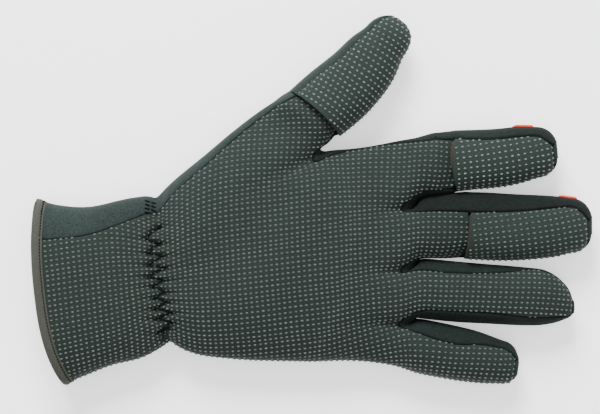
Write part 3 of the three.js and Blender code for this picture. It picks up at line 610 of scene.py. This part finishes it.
def spread_flat(panel):
    bm = skin.copy()
    layer = bm.verts.layers.float_vector.get("spread")
    others = [face for face in bm.faces if face.material_index != panel]
    bmesh.ops.delete(bm, geom=others, context="FACES")
    keys = [tuple(vert.co) for vert in bm.verts]
    plan = np.array([vert[layer][0] + 1j * vert[layer][1] for vert in bm.verts])
    for vert in bm.verts:
        fullness = GATHER_FULLNESS * math.exp(-(((vert.co.x - GATHER_X) / GATHER_REACH) ** 2))
        vert.co.y += (vert.co.y - GATHER_MIDDLE) * fullness
    pattern = from_bmesh("pattern_piece", bm)
    mesh = pattern.data
    mesh.uv_layers.new(name="cloth")
    bpy.context.view_layer.objects.active = pattern
    bpy.ops.object.mode_set(mode="EDIT")
    bpy.ops.mesh.select_all(action="SELECT")
    bpy.ops.uv.unwrap(method="MINIMUM_STRETCH", iterations=50, correct_aspect=False)
    bpy.ops.object.mode_set(mode="OBJECT")
    flat = np.zeros(len(keys), complex)
    for loop, spot in zip(mesh.loops, mesh.uv_layers["cloth"].data):
        flat[loop.vertex_index] = complex(*spot.uv)
    real = flat_length = 0
    for edge in mesh.edges:
        a, b = edge.vertices
        real += (mesh.vertices[a].co - mesh.vertices[b].co).length
        flat_length += abs(flat[a] - flat[b])
    flat -= flat.mean()
    away = plan - plan.mean()
    turn = np.sum(np.conj(flat) * away)
    flat = flat * (turn / abs(turn)) * (real / flat_length) + plan.mean()
    bpy.data.objects.remove(pattern)
    if PANELS[panel] == "palm_panel":
        turn_fingers(keys, flat)
    return dict(zip(keys, flat))


GRIP_PANELS = ("palm_panel", "thumb_cap", "index_cap", "middle_cap")
uv = skin.loops.layers.uv.new("cloth")
for panel in sorted(PANELS.index(name) for name in GRIP_PANELS):
    flat_of = spread_flat(panel)
    for face in skin.faces:
        if face.material_index == panel:
            for loop in face.loops:
                spot = flat_of[tuple(loop.vert.co)]
                loop[uv].uv = (spot.real, spot.imag)

form = from_bmesh("skin_cage", skin)
cage = form.data
rounding = form.modifiers.new("rounding", "SUBSURF")
rounding.levels = rounding.render_levels = 2
rounding.boundary_smooth = "PRESERVE_CORNERS"
rounding.uv_smooth = "PRESERVE_BOUNDARIES"

# Rounding takes a cage in, so it is first let out by as much
LET_OUT_SHARE = 0.3
LET_OUT_MOST = 0.5
aim = np.array([vert.co for vert in cage.vertices])
place = aim.copy()
shortest = np.full(len(aim), 9.0)
for edge in cage.edges:
    a, b = edge.vertices
    length = np.linalg.norm(aim[a] - aim[b])
    shortest[a], shortest[b] = min(shortest[a], length), min(shortest[b], length)
room = np.minimum(LET_OUT_SHARE * shortest, LET_OUT_MOST)[:, None]
for _ in range(2):
    smooth = form.evaluated_get(bpy.context.evaluated_depsgraph_get()).to_mesh()
    got = np.array([smooth.vertices[n].co for n in range(len(aim))])
    place += np.clip(aim - got, -room, room)
    cage.vertices.foreach_set("co", place.ravel())
    cage.update()
smooth_skin = bpy.data.meshes.new_from_object(
    form.evaluated_get(bpy.context.evaluated_depsgraph_get()))
bpy.data.objects.remove(form)

# The wrist elastic is sewn through the palm in a zigzag, which pulls the cloth down along each
# stitch line and leaves it puffed between them. On the back the same band makes soft ripples.
ZIGZAG = [
    (-75.7, -13.4), (-80.6, -19.2), (-75.5, -21.7), (-79.6, -26.6), (-73.7, -27.6), (-79.4, -32.5),
    (-72.8, -33.4), (-79.4, -38.1), (-73.3, -39.6), (-76.9, -42.8), (-72.8, -45.7), (-76.2, -48.6),
    (-71.8, -50.6), (-76.2, -54.0), (-69.8, -55.5), (-75.2, -58.9), (-70.1, -60.6), (-74.2, -65.8),
    (-71.3, -64.4), (-72.3, -69.2),
]
STITCH_PULL = 1.7
STITCH_WIDTH = 0.75
PUFF_HEIGHT = 0.5
PUFF_AT = 2.6
PUFF_WIDTH = 1.5
FOLD_WIDTH = 1.1
FOLD_START = 1.5
FOLD_REACH = 5.5
FOLD_DEPTH = 1.5
WAIST_DEPTH = 1.1
WAIST_WIDTH = 4.2
BACK_GATHER_PITCH = 5.5
BACK_GATHER_REACH = 8
BACK_GATHER_DEPTH = 0.6


def distance_to(points, line):
    return np.min([from_line(points, *ends) for ends in zip(line, line[1:])], axis=0)


def vectors(items, name):
    values = np.empty(len(items) * 3)
    items.foreach_get(name, values)
    return values.reshape(-1, 3)


points = vectors(smooth_skin.vertices, "co")
normals = vectors(smooth_skin.vertex_normals, "vector")
palm_up = np.clip(normals[:, 2] * 2, 0, 1) * (points[:, 2] > 10)
away = distance_to(points[:, :2], ZIGZAG)
pull = STITCH_PULL * np.exp(-((away / STITCH_WIDTH) ** 2))
pull -= PUFF_HEIGHT * np.exp(-(((away - PUFF_AT) / PUFF_WIDTH) ** 2))
elastic = np.array(ZIGZAG)
order = np.argsort(elastic[:, 1])
elastic_x = np.interp(points[:, 1], elastic[order, 1], elastic[order, 0])
pull += WAIST_DEPTH * np.exp(-(((points[:, 0] - elastic_x) / WAIST_WIDTH) ** 2))
for n, (corner_x, corner_y) in enumerate(ZIGZAG):
    outward = 1 if n % 2 == 0 else -1
    beyond = (points[:, 0] - corner_x) * outward
    fold = np.exp(-(((points[:, 1] - corner_y) / FOLD_WIDTH) ** 2))
    behind = np.exp(-((beyond / FOLD_START) ** 2))
    reach = np.where(beyond > 0, np.exp(-beyond / FOLD_REACH), behind)
    pull += FOLD_DEPTH * fold * reach
points -= normals * (pull * palm_up)[:, None]
ripple = np.cos(points[:, 1] * 2 * math.pi / BACK_GATHER_PITCH)
hold = np.exp(-(((points[:, 0] - GATHER_X) / BACK_GATHER_REACH) ** 2))
under = np.clip(-normals[:, 2] * 2, 0, 1)
points += normals * (BACK_GATHER_DEPTH * (ripple - 1) * hold * under)[:, None]
points[:, 2] = np.maximum(points[:, 2], 0)
smooth_skin.vertices.foreach_set("co", points.ravel())
smooth_skin.update()

# Neoprene: foam rubber faced with a fine knit, lighter on its loops than between them and a little
# uneven in tone. The walls between the fingers are plain neoprene painted darker, which is painted
# shade, darkest on the wall under the index finger; a cut edge shows paler foam.
MM = 0.001


# Fills the sockets of a node, each with a value or with the output of another node
def fill(tree, node, values):
    for socket, value in values.items():
        if isinstance(value, bpy.types.NodeSocket):
            tree.links.new(value, node.inputs[socket])
        else:
            node.inputs[socket].default_value = value
    return node


def add_node(tree, kind, values):
    return fill(tree, tree.nodes.new("ShaderNode" + kind), values)


def add_math(tree, operation, values):
    node = tree.nodes.new("ShaderNodeMath")
    node.operation = operation
    return fill(tree, node, values).outputs[0]


def add_tone(tree, share, dull, bright):
    mix = tree.nodes.new("ShaderNodeMix")
    mix.data_type = "RGBA"
    return fill(tree, mix, {0: share, 6: (*dull, 1), 7: (*bright, 1)}).outputs[2]


def new_material(name):
    material = bpy.data.materials.new(name)
    material.use_nodes = True
    tree = material.node_tree
    return material, tree, tree.nodes["Principled BSDF"]


def neoprene(name, colour, deep, sheen, specular=0.16):
    material, tree, shader = new_material(name)
    spot = add_node(tree, "TexCoord", {}).outputs["Object"]
    patchy = add_node(tree, "TexNoise", {"Vector": spot, "Scale": 45, "Detail": 3})
    knit = add_node(tree, "TexNoise", {
        "Vector": spot,
        "Scale": 1450,
        "Detail": 3,
        "Roughness": 0.75,
    }).outputs["Fac"]
    loops = add_node(tree, "MapRange", {"Value": knit, "From Min": 0.36, "From Max": 0.66})
    patches = add_math(tree, "MULTIPLY", {0: patchy.outputs["Fac"], 1: 0.3})
    share = add_math(tree, "MULTIPLY_ADD", {0: loops.outputs["Result"], 1: 0.7, 2: patches})
    bump = add_node(tree, "Bump", {"Height": knit, "Strength": 0.6, "Distance": 0.0004})
    fill(tree, shader, {
        "Base Color": add_tone(tree, share, deep, colour),
        "Normal": bump.outputs[0],
        "Roughness": 0.85,
        "Specular IOR Level": specular,
        "Sheen Weight": sheen,
        "Sheen Roughness": 0.5,
        "Sheen Tint": (0.6, 0.75, 0.72, 1),
    })
    return material


grip_cloth = neoprene("grip_neoprene", (0.0145, 0.0228, 0.0196), (0.0055, 0.0097, 0.0081), 0.04)
cap_cloth = neoprene("cap_neoprene", (0.0175, 0.0275, 0.0238), (0.007, 0.012, 0.0102), 0.05)
plain_cloth = neoprene("plain_neoprene", (0.0205, 0.034, 0.031), (0.001, 0.002, 0.0018), 0.05)
# The walls are plain neoprene darkened as painted shade: the wall under the index finger darkest,
# the rest a little less
deepest_shade_cloth = neoprene(
    "fourchette_painted_shade", (0.0095, 0.0138, 0.0125), (0.0008, 0.0013, 0.0011), 0.012, 0.08)
painted_shade_wall = neoprene(
    "thumb_wall_neoprene", (0.0122, 0.0192, 0.0172), (0.0009, 0.0018, 0.0015), 0.012, 0.08)
raw_edge = neoprene("raw_edge", (0.042, 0.037, 0.03), (0.012, 0.011, 0.009), 0.0)
wall_shade_cloths = dict.fromkeys([*GUSSETS, "thumb_gusset"], painted_shade_wall) | {GUSSETS[0]: deepest_shade_cloth}

# Cut panels: each is cut out of the smooth skin and gets its wall, inwards along the skin's normals
# and no deeper than the room inside. At a slit the raw edge of a cap leans out from under its face.
RAW_LEAN = {"thumb_cap": (-0.4, 0.2), "index_cap": (-1.2, 0.1), "middle_cap": (-0.6, 0.1)}
RAW_FROM = {"thumb_cap": 30, "index_cap": 12, "middle_cap": -30}
RAW_FADE = 9
SHARP_EDGE = math.radians(48)
skin_tree = BVHTree.FromPolygons(
    [vert.co for vert in smooth_skin.vertices],
    [tuple(face.vertices) for face in smooth_skin.polygons],
)
THINNEST = 0.25
RAY_START = 0.05
ROOM_SHARE = 0.45
LEAST_HEIGHT = 0.3
inward_steps = []
for vert in smooth_skin.vertices:
    below = vert.co - vert.normal * RAY_START
    room = skin_tree.ray_cast(below, -vert.normal)[3]
    depth = THINNEST if room is None else min(WALL, max(THINNEST, room * ROOM_SHARE))
    inward_steps.append(vert.normal * -depth)


def cut_panel(name):
    bm = bmesh.new()
    bm.from_mesh(smooth_skin)
    number = PANELS.index(name)
    inward = bm.verts.layers.float_vector.new("inward")
    bm.verts.ensure_lookup_table()
    for vert, step in zip(bm.verts, inward_steps):
        panels = {face.material_index for face in vert.link_faces}
        vert[inward] = step
        free = any(edge.is_boundary for edge in vert.link_edges)
        if name in RAW_LEAN and free and panels == {number}:
            share = min(1, max(0, (vert.co.y - RAW_FROM[name]) / RAW_FADE))
            vert[inward] += Vector((*RAW_LEAN[name], 0)) * share
    others = [face for face in bm.faces if face.material_index != number]
    bmesh.ops.delete(bm, geom=others, context="FACES")
    inner = bm.faces[:]
    bmesh.ops.extrude_face_region(bm, geom=inner, use_keep_orig=True)
    inner_verts = {vert for face in inner for vert in face.verts}
    for vert in inner_verts:
        vert.co += vert[inward]
        vert.co.z = max(vert.co.z, LEAST_HEIGHT)
    bmesh.ops.reverse_faces(bm, faces=inner)
    for face in bm.faces:
        sides = {vert in inner_verts for vert in face.verts}
        face.material_index = 1 if len(sides) == 2 else 0
        face.smooth = True
    for edge in bm.edges:
        edge.smooth = edge.calc_face_angle(0) < SHARP_EDGE
    bmesh.ops.scale(bm, vec=(MM, MM, MM), verts=bm.verts)
    piece = from_bmesh(name + "_cloth", bm)
    piece.data.attributes.remove(piece.data.attributes["inward"])
    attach(piece, "root")
    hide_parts(name)
    return piece


for name in PANELS:
    piece = cut_panel(name)
    if name in GRIP_PANELS:
        cloth = cap_cloth if name.endswith("cap") else grip_cloth
    else:
        cloth = wall_shade_cloths.get(name, plain_cloth)
    piece.data.materials.append(cloth)
    piece.data.materials.append(raw_edge)

# Grip dots: low rubber beads printed on the knit face of the palm and the caps in a square
# lattice, a little longer along the rows than across. They end just short of every seam. Each
# panel has a step along its rows, one across them and a start, because the caps were cut apart.
DOT_LATTICE = {
    "palm_panel": ((2.62, 0.42), (-0.2, 2.4), (0, 0)),
    "thumb_cap": ((2.2, -1.45), (1.15, 2.5), (-0.8, -0.9)),
    "index_cap": ((2.94, 0.43), (-0.29, 2.56), (-1.3, 0)),
    "middle_cap": ((2.84, 0.38), (-0.38, 2.45), (-1.1, 0)),
}
DOT_SIZE = (0.7, 0.44, 0.5)
DOT_MARGIN = 0.95


def dot_material(name, bright, dull):
    material, tree, shader = new_material(name)
    spot = add_node(tree, "TexCoord", {}).outputs["Object"]
    worn = add_node(tree, "TexNoise", {"Vector": spot, "Scale": 380, "Detail": 2, "Roughness": 0.7})
    steep = add_node(tree, "MapRange", {
        "Value": worn.outputs["Fac"],
        "From Min": 0.32,
        "From Max": 0.68,
    })
    tone = add_tone(tree, steep.outputs["Result"], dull, bright)
    fill(tree, shader, {"Base Color": tone, "Roughness": 0.4})
    return material


dot_rubber = dict.fromkeys(
    ("palm_panel", "middle_cap"),
    dot_material("grip_dots", (0.088, 0.103, 0.088), (0.03, 0.037, 0.032)))
# The thumb and index caps take a lighter copy of the same dot rubber, a painted highlight for the
# light falling on them
dot_rubber |= dict.fromkeys(
    ("thumb_cap", "index_cap"),
    dot_material("cap_dots_painted_light", (0.145, 0.163, 0.142), (0.05, 0.06, 0.05)))

bead = bmesh.new()
bmesh.ops.create_uvsphere(bead, u_segments=8, v_segments=4, radius=1)
bmesh.ops.bisect_plane(bead, geom=bead.verts[:] + bead.edges[:] + bead.faces[:],
                       plane_co=(0, 0, -0.01), plane_no=(0, 0, 1), clear_inner=True)
for face in bead.faces:
    face.smooth = True
bead_mesh = bpy.data.meshes.new("bead")
bead.to_mesh(bead_mesh)
bead.free()


def print_dots(name):
    number = PANELS.index(name)
    mesh = smooth_skin
    layer = mesh.uv_layers["cloth"].data
    faces = [face for face in mesh.polygons if face.material_index == number]
    edge_count = {}
    for face in faces:
        for key in face.edge_keys:
            edge_count[key] = edge_count.get(key, 0) + 1
    rim = {n for key, seen in edge_count.items() if seen == 1 for n in key}
    tree = KDTree(len(rim))
    for n in rim:
        tree.insert(mesh.vertices[n].co, n)
    tree.balance()
    *steps, start = np.array(DOT_LATTICE[name])
    lattice = np.array(steps).T
    back = np.linalg.inv(lattice)
    dots = {}
    for face in faces:
        corners = [mesh.vertices[n].co for n in face.vertices]
        spots = np.array([layer[n].uv for n in face.loop_indices])
        cells = (spots - start) @ back.T
        low = np.ceil(cells.min(axis=0)).astype(int)
        high = np.floor(cells.max(axis=0)).astype(int)
        for i in range(low[0], high[0] + 1):
            for k in range(low[1], high[1] + 1):
                if (i, k) in dots:
                    continue
                spot = lattice @ np.array([i, k]) + start
                for n in range(1, len(corners) - 1):
                    a, b, c = spots[0], spots[n], spots[n + 1]
                    area = np.array([b - a, c - a]).T
                    if abs(np.linalg.det(area)) < 1e-9:
                        continue
                    s, t = np.linalg.solve(area, spot - a)
                    if s >= -1e-6 and t >= -1e-6 and s + t <= 1 + 1e-6:
                        p, q, r = corners[0], corners[n], corners[n + 1]
                        point = p + (q - p) * s + (r - p) * t
                        st = np.linalg.solve(area, lattice[:, 0])
                        rowwise = (q - p) * st[0] + (r - p) * st[1]
                        dots[(i, k)] = (point, face.normal.copy(), rowwise)
                        break
    bm = bmesh.new()
    rng = random.Random(7)
    for key in sorted(dots):
        point, normal, rowwise = dots[key]
        if tree.find(point)[2] < DOT_MARGIN:
            continue
        x = (rowwise - normal * rowwise.dot(normal)).normalized()
        y = normal.cross(x)
        size = [s * rng.uniform(0.92, 1.08) for s in DOT_SIZE]
        turn = Matrix((x * size[0], y * size[1], normal * size[2])).transposed().to_4x4()
        turn = Matrix.Translation(point) @ turn
        bead_copy = bead_mesh.copy()
        bead_copy.transform(Matrix.Scale(MM, 4) @ turn)
        bm.from_mesh(bead_copy)
        bpy.data.meshes.remove(bead_copy)
    piece = from_bmesh(name + "_dots", bm)
    piece.data.materials.append(dot_rubber[name])
    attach(piece, "root")


for name in GRIP_PANELS:
    print_dots(name)

# Seam thread: overlock thread that holds two panels edge to edge and lies at the bottom of every
# valley between them. It is made near black as painted shade, standing in for the valley's shadow.
SEAM_THREAD = 0.34
between = bmesh.new()
between.from_mesh(smooth_skin)
inner_seams = [
    edge for edge in between.edges
    if len({face.material_index for face in edge.link_faces}) < 2
]
bmesh.ops.delete(between, geom=inner_seams, context="EDGES")
bmesh.ops.scale(between, vec=(MM, MM, MM), verts=between.verts)
seam_lines = bpy.data.meshes.new("seam_thread")
between.to_mesh(seam_lines)
between.free()


def thread_material(name, colour):
    material, tree, shader = new_material(name)
    spot = add_node(tree, "TexCoord", {}).outputs["Object"]
    wave = add_node(tree, "TexWave", {"Vector": spot, "Scale": 900, "Distortion": 1.5})
    twist = wave.outputs["Fac"]
    bump = add_node(tree, "Bump", {"Height": twist, "Strength": 0.5, "Distance": 0.0001})
    fill(tree, shader, {
        "Base Color": add_tone(tree, twist, [c * 0.5 for c in colour], colour),
        "Normal": bump.outputs[0],
        "Roughness": 0.9,
        "Specular IOR Level": 0.04,
    })
    return material


# A real dark thread, made near black as painted shade for the seam valleys; the strip and binding
# stitches use it too
thread_and_seam_shade = thread_material("thread_and_seam_shade", (0.0022, 0.003, 0.0028))


def tube(name, lines, radius, material):
    curve = bpy.data.curves.new(name, "CURVE")
    curve.dimensions = "3D"
    curve.bevel_depth = radius * MM
    curve.bevel_resolution = 1
    curve.resolution_u = 2
    for line in lines:
        spline = curve.splines.new("POLY")
        spline.points.add(len(line) - 1)
        for spot, point in zip(spline.points, line):
            spot.co = (*point, 1)
    source = add_object(name + "_line", curve)
    mesh = bpy.data.meshes.new_from_object(
        source.evaluated_get(bpy.context.evaluated_depsgraph_get()))
    bpy.data.objects.remove(source)
    mesh.name = name
    for face in mesh.polygons:
        face.use_smooth = True
    mesh.materials.clear()
    mesh.materials.append(material)
    piece = add_object(name, mesh)
    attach(piece, "root")
    return piece


# Follows the edges of a mesh from end to end, as lines of points
def run_lines(mesh):
    beside = {}
    for edge in mesh.edges:
        a, b = edge.vertices
        beside.setdefault(a, set()).add(b)
        beside.setdefault(b, set()).add(a)
    lines = []
    starts = [n for n in sorted(beside) if len(beside[n]) != 2] + sorted(beside)
    for start in starts:
        while beside[start]:
            line = [start]
            here = start
            while beside[here]:
                following = min(beside[here])
                beside[here].discard(following)
                beside[following].discard(here)
                here = following
                line.append(here)
                if len(beside[here]) != 1:
                    break
            lines.append([mesh.vertices[n].co for n in line])
    return lines


tube("seam_thread", run_lines(seam_lines), SEAM_THREAD, thread_and_seam_shade)

# Wrist elastic: dark thread sewn in a zigzag over the gathers on the palm side, and in two short
# rows of slanting stitches on the plain strip at the thumb's side
ELASTIC_THREAD = 0.22
STRIP_THREAD = 0.38
STITCH_SLANT = 0.7
STRIP_ROWS = [(-82.1, -79.8, (-0.4, -2.2, -4.1, -6.0)), (-79.0, -76.8, (-1.3, -3.1, -4.9))]
STRIP_STITCHES = [
    ((start, y), (end, y - STITCH_SLANT)) for start, end, places in STRIP_ROWS for y in places
]


def on_skin(x, y, lift=0.0):
    hit, normal, _, _ = skin_tree.ray_cast(Vector((x, y, 60)), Vector((0, 0, -1)))
    return (hit + normal * lift) * MM if hit else None


def laid_line(corners, step, lift):
    line = []
    for start, end in zip(corners, corners[1:]):
        pieces = max(2, round(math.dist(start, end) / step))
        for n in range(pieces):
            share = n / pieces
            spot = on_skin(start[0] + (end[0] - start[0]) * share,
                           start[1] + (end[1] - start[1]) * share, lift)
            if spot:
                line.append(spot)
    spot = on_skin(*corners[-1], lift)
    return line + ([spot] if spot else [])


elastic_lines = [laid_line(ZIGZAG, 0.7, 0.15)]
strip_lines = [laid_line(stitch, 0.5, 0.05) for stitch in STRIP_STITCHES]
tube("strip_stitches", strip_lines, STRIP_THREAD, thread_and_seam_shade)
elastic_thread = thread_material("elastic_thread", (0.009, 0.0125, 0.0115))
tube("wrist_elastic_thread", elastic_lines, ELASTIC_THREAD, elastic_thread)

# Cuff binding: a grey woven tape folded round the raw edge of the cuff and sewn down along its
# inner edge, where a row of stitches bites in and leaves a thin lip standing
TAPE = [
    (4.9, 0.15), (4.95, 0.75), (4.6, 1.0), (4.15, 0.95), (3.75, 0.45), (3.3, 0.85), (2.2, 1.3),
    (0.9, 1.25), (-0.2, 0.6), (-0.5, -0.6), (-0.5, -1.9), (-0.2, -3.0), (0.8, -3.6),
    (2.6, -3.65), (4.6, -3.4), (4.8, -2.7), (2.6, -2.6), (0.0, -2.5), (-0.25, -1.2), (0.0, 0.05),
    (2.5, 0.12),
]
tape_bm = bmesh.new()
mouth = [np.concatenate([hand_palm[i][:-1], hand_back[i][:-1], hand_wrap[i][:-1]]) for i in (0, 1)]
inland = mouth[1] - mouth[0]
inland /= np.linalg.norm(inland, axis=1)[:, None]
beside = np.roll(mouth[0], -1, axis=0) - np.roll(mouth[0], 1, axis=0)
outward = np.cross(inland, beside)
outward /= np.linalg.norm(outward, axis=1)[:, None]
centre = mouth[0].mean(axis=0)
if np.sum(outward * (mouth[0] - centre)) < 0:
    outward = -outward
ring_count = len(mouth[0])
new = bmesh.ops.create_grid(tape_bm, x_segments=ring_count, y_segments=len(TAPE), size=1)["verts"]
for n, vert in enumerate(new):
    k, i = divmod(n, ring_count + 1)
    i, (along, up) = i % ring_count, TAPE[k % len(TAPE)]
    vert.co = (mouth[0][i] + inland[i] * along + outward[i] * up) * MM
bmesh.ops.remove_doubles(tape_bm, verts=tape_bm.verts, dist=1e-6)
bmesh.ops.recalc_face_normals(tape_bm, faces=tape_bm.faces)
for face in tape_bm.faces:
    face.smooth = True
tape = from_bmesh("cuff_tape", tape_bm)
rounding = tape.modifiers.new("rounding", "SUBSURF")
rounding.levels = rounding.render_levels = 2
tape_cloth = neoprene("binding_tape", (0.049, 0.051, 0.042), (0.024, 0.0255, 0.021), 0.04)
tape.data.materials.append(tape_cloth)
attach(tape, "root")
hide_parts("cuff_binding")

# Binding stitches: short runs of dark thread in the groove of the tape, about six to a centimetre,
# that go through the tape and the cuff and hold them together
STITCH_PITCH = 1.6
STITCH_SPAN = (0.15, 0.7)
STITCH_THREAD = 0.3
GROOVE_INLAND = 3.75
GROOVE_LIFT = 0.62
loop_run = np.concatenate([mouth[0], mouth[0][:1]])
steps = np.linalg.norm(np.diff(loop_run, axis=0), axis=1)
run = np.concatenate([[0], np.cumsum(steps)])
stitch_total = int(run[-1] / STITCH_PITCH)
groove = mouth[0] + inland * GROOVE_INLAND + outward * GROOVE_LIFT
groove = np.concatenate([groove, groove[:1]])
stitch_lines = []
for n in range(stitch_total):
    ends = [(n + share) * STITCH_PITCH for share in STITCH_SPAN]
    stitch_lines.append([
        Vector([np.interp(end, run, groove[:, k]) for k in range(3)]) * MM for end in ends
    ])
tube("binding_stitches", stitch_lines, STITCH_THREAD, thread_and_seam_shade)

# Finger patches: thin orange rubber pads bonded to the backs of the index and middle fingers near
# the tip. Only their edges show from the palm side.
PATCH_ARC = (6, -62)
PATCH_STATIONS = 9
PATCH_LIFT = 0.15
PATCH_THICK = 0.85
PATCH_EDGE = 0.4
PATCH_ROWS = {
    "index_patch": ("index", INDEX_CAP_ROWS, 2.8, 4.15),
    "middle_patch": ("middle", MIDDLE_CAP_ROWS, 4.2, 6.3),
}
patch_rubber, tree, shader = new_material("patch_rubber")
spot = add_node(tree, "TexCoord", {}).outputs["Object"]
grain = add_node(tree, "TexNoise", {"Vector": spot, "Scale": 700}).outputs["Fac"]
bump = add_node(tree, "Bump", {"Height": grain, "Strength": 0.25, "Distance": 0.0001})
fill(tree, shader, {
    "Base Color": add_tone(tree, grain, (0.44, 0.014, 0.0005), (0.64, 0.026, 0.001)),
    "Normal": bump.outputs[0],
    "Roughness": 0.55,
    "Specular IOR Level": 0.08,
})
for name, (tip, rows, first, last) in PATCH_ROWS.items():
    rows = [*rows, *dome(rows[-1], TIPS[tip])[0][:2]]
    stations = np.linspace(first, last, PATCH_STATIONS)
    loops = []
    for n, spot in enumerate(stations):
        a, b = rows[int(spot)], rows[min(int(spot) + 1, len(rows) - 1)]
        row = blend_rows(a, b, spot % 1)
        thick = PATCH_THICK if 0 < n < PATCH_STATIONS - 1 else PATCH_EDGE
        loop = []
        for lift, order in ((PATCH_LIFT + thick, 1), (PATCH_LIFT, -1)):
            grown = dict(row)
            widen(grown, lift)
            grown["low"] -= lift
            line = arc(grown, 360 + PATCH_ARC[1], 360 + PATCH_ARC[0], np.linspace(0, 1, 11))
            loop.extend(line[::order])
        loops.append(np.array([*loop, loop[0]]))
    bm = bmesh.new()
    new = bmesh.ops.create_grid(bm, x_segments=len(loops[0]) - 1, y_segments=len(loops) - 1,
                                size=1)["verts"]
    for n, vert in enumerate(new):
        i, k = divmod(n, len(loops[0]))
        vert.co = Vector(loops[i][k]) * MM
    bmesh.ops.remove_doubles(bm, verts=bm.verts, dist=1e-6)
    bmesh.ops.holes_fill(bm, edges=bm.edges)
    bmesh.ops.recalc_face_normals(bm, faces=bm.faces)
    for face in bm.faces:
        face.smooth = True
    for edge in bm.edges:
        edge.smooth = edge.calc_face_angle(0) < SHARP_EDGE
    piece = from_bmesh(name + "_pad", bm)
    piece.data.materials.append(patch_rubber)
    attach(piece, "root")
    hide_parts(name)

# Floor and light: a pale table that glows a little, so that it comes out nearly white, under a soft
# light from the thumb's side and a wider, weaker one from above
floor_bm = bmesh.new()
bmesh.ops.create_grid(floor_bm, x_segments=1, y_segments=1, size=3)
floor = from_bmesh("floor", floor_bm)
table_top, tree, shader = new_material("pale_table")
fill(tree, shader, {
    "Base Color": (0.95, 0.95, 0.95, 1),
    "Roughness": 0.9,
    "Emission Color": (1, 1, 1, 1),
    "Emission Strength": 0.7,
})
floor.data.materials.append(table_top)


def soft_light(name, place, size, power, aim=(0, 0, 0)):
    data = bpy.data.lights.new(name, "AREA")
    data.shape = "SQUARE"
    data.size = size
    data.energy = power
    light = add_object(name, data)
    light.location = place
    light.rotation_euler = (Vector(aim) - Vector(place)).to_track_quat("-Z", "Y").to_euler()


soft_light("key_light", (-0.25, 1.15, 0.95), 0.7, 60)
soft_light("fill_light", (0.3, -0.3, 1.6), 1.6, 17)
world = bpy.data.worlds.new("studio")
bpy.context.scene.world = world
world.use_nodes = True
world.node_tree.nodes["Background"].inputs["Color"].default_value = (1, 1, 1, 1)
world.node_tree.nodes["Background"].inputs["Strength"].default_value = 1.0
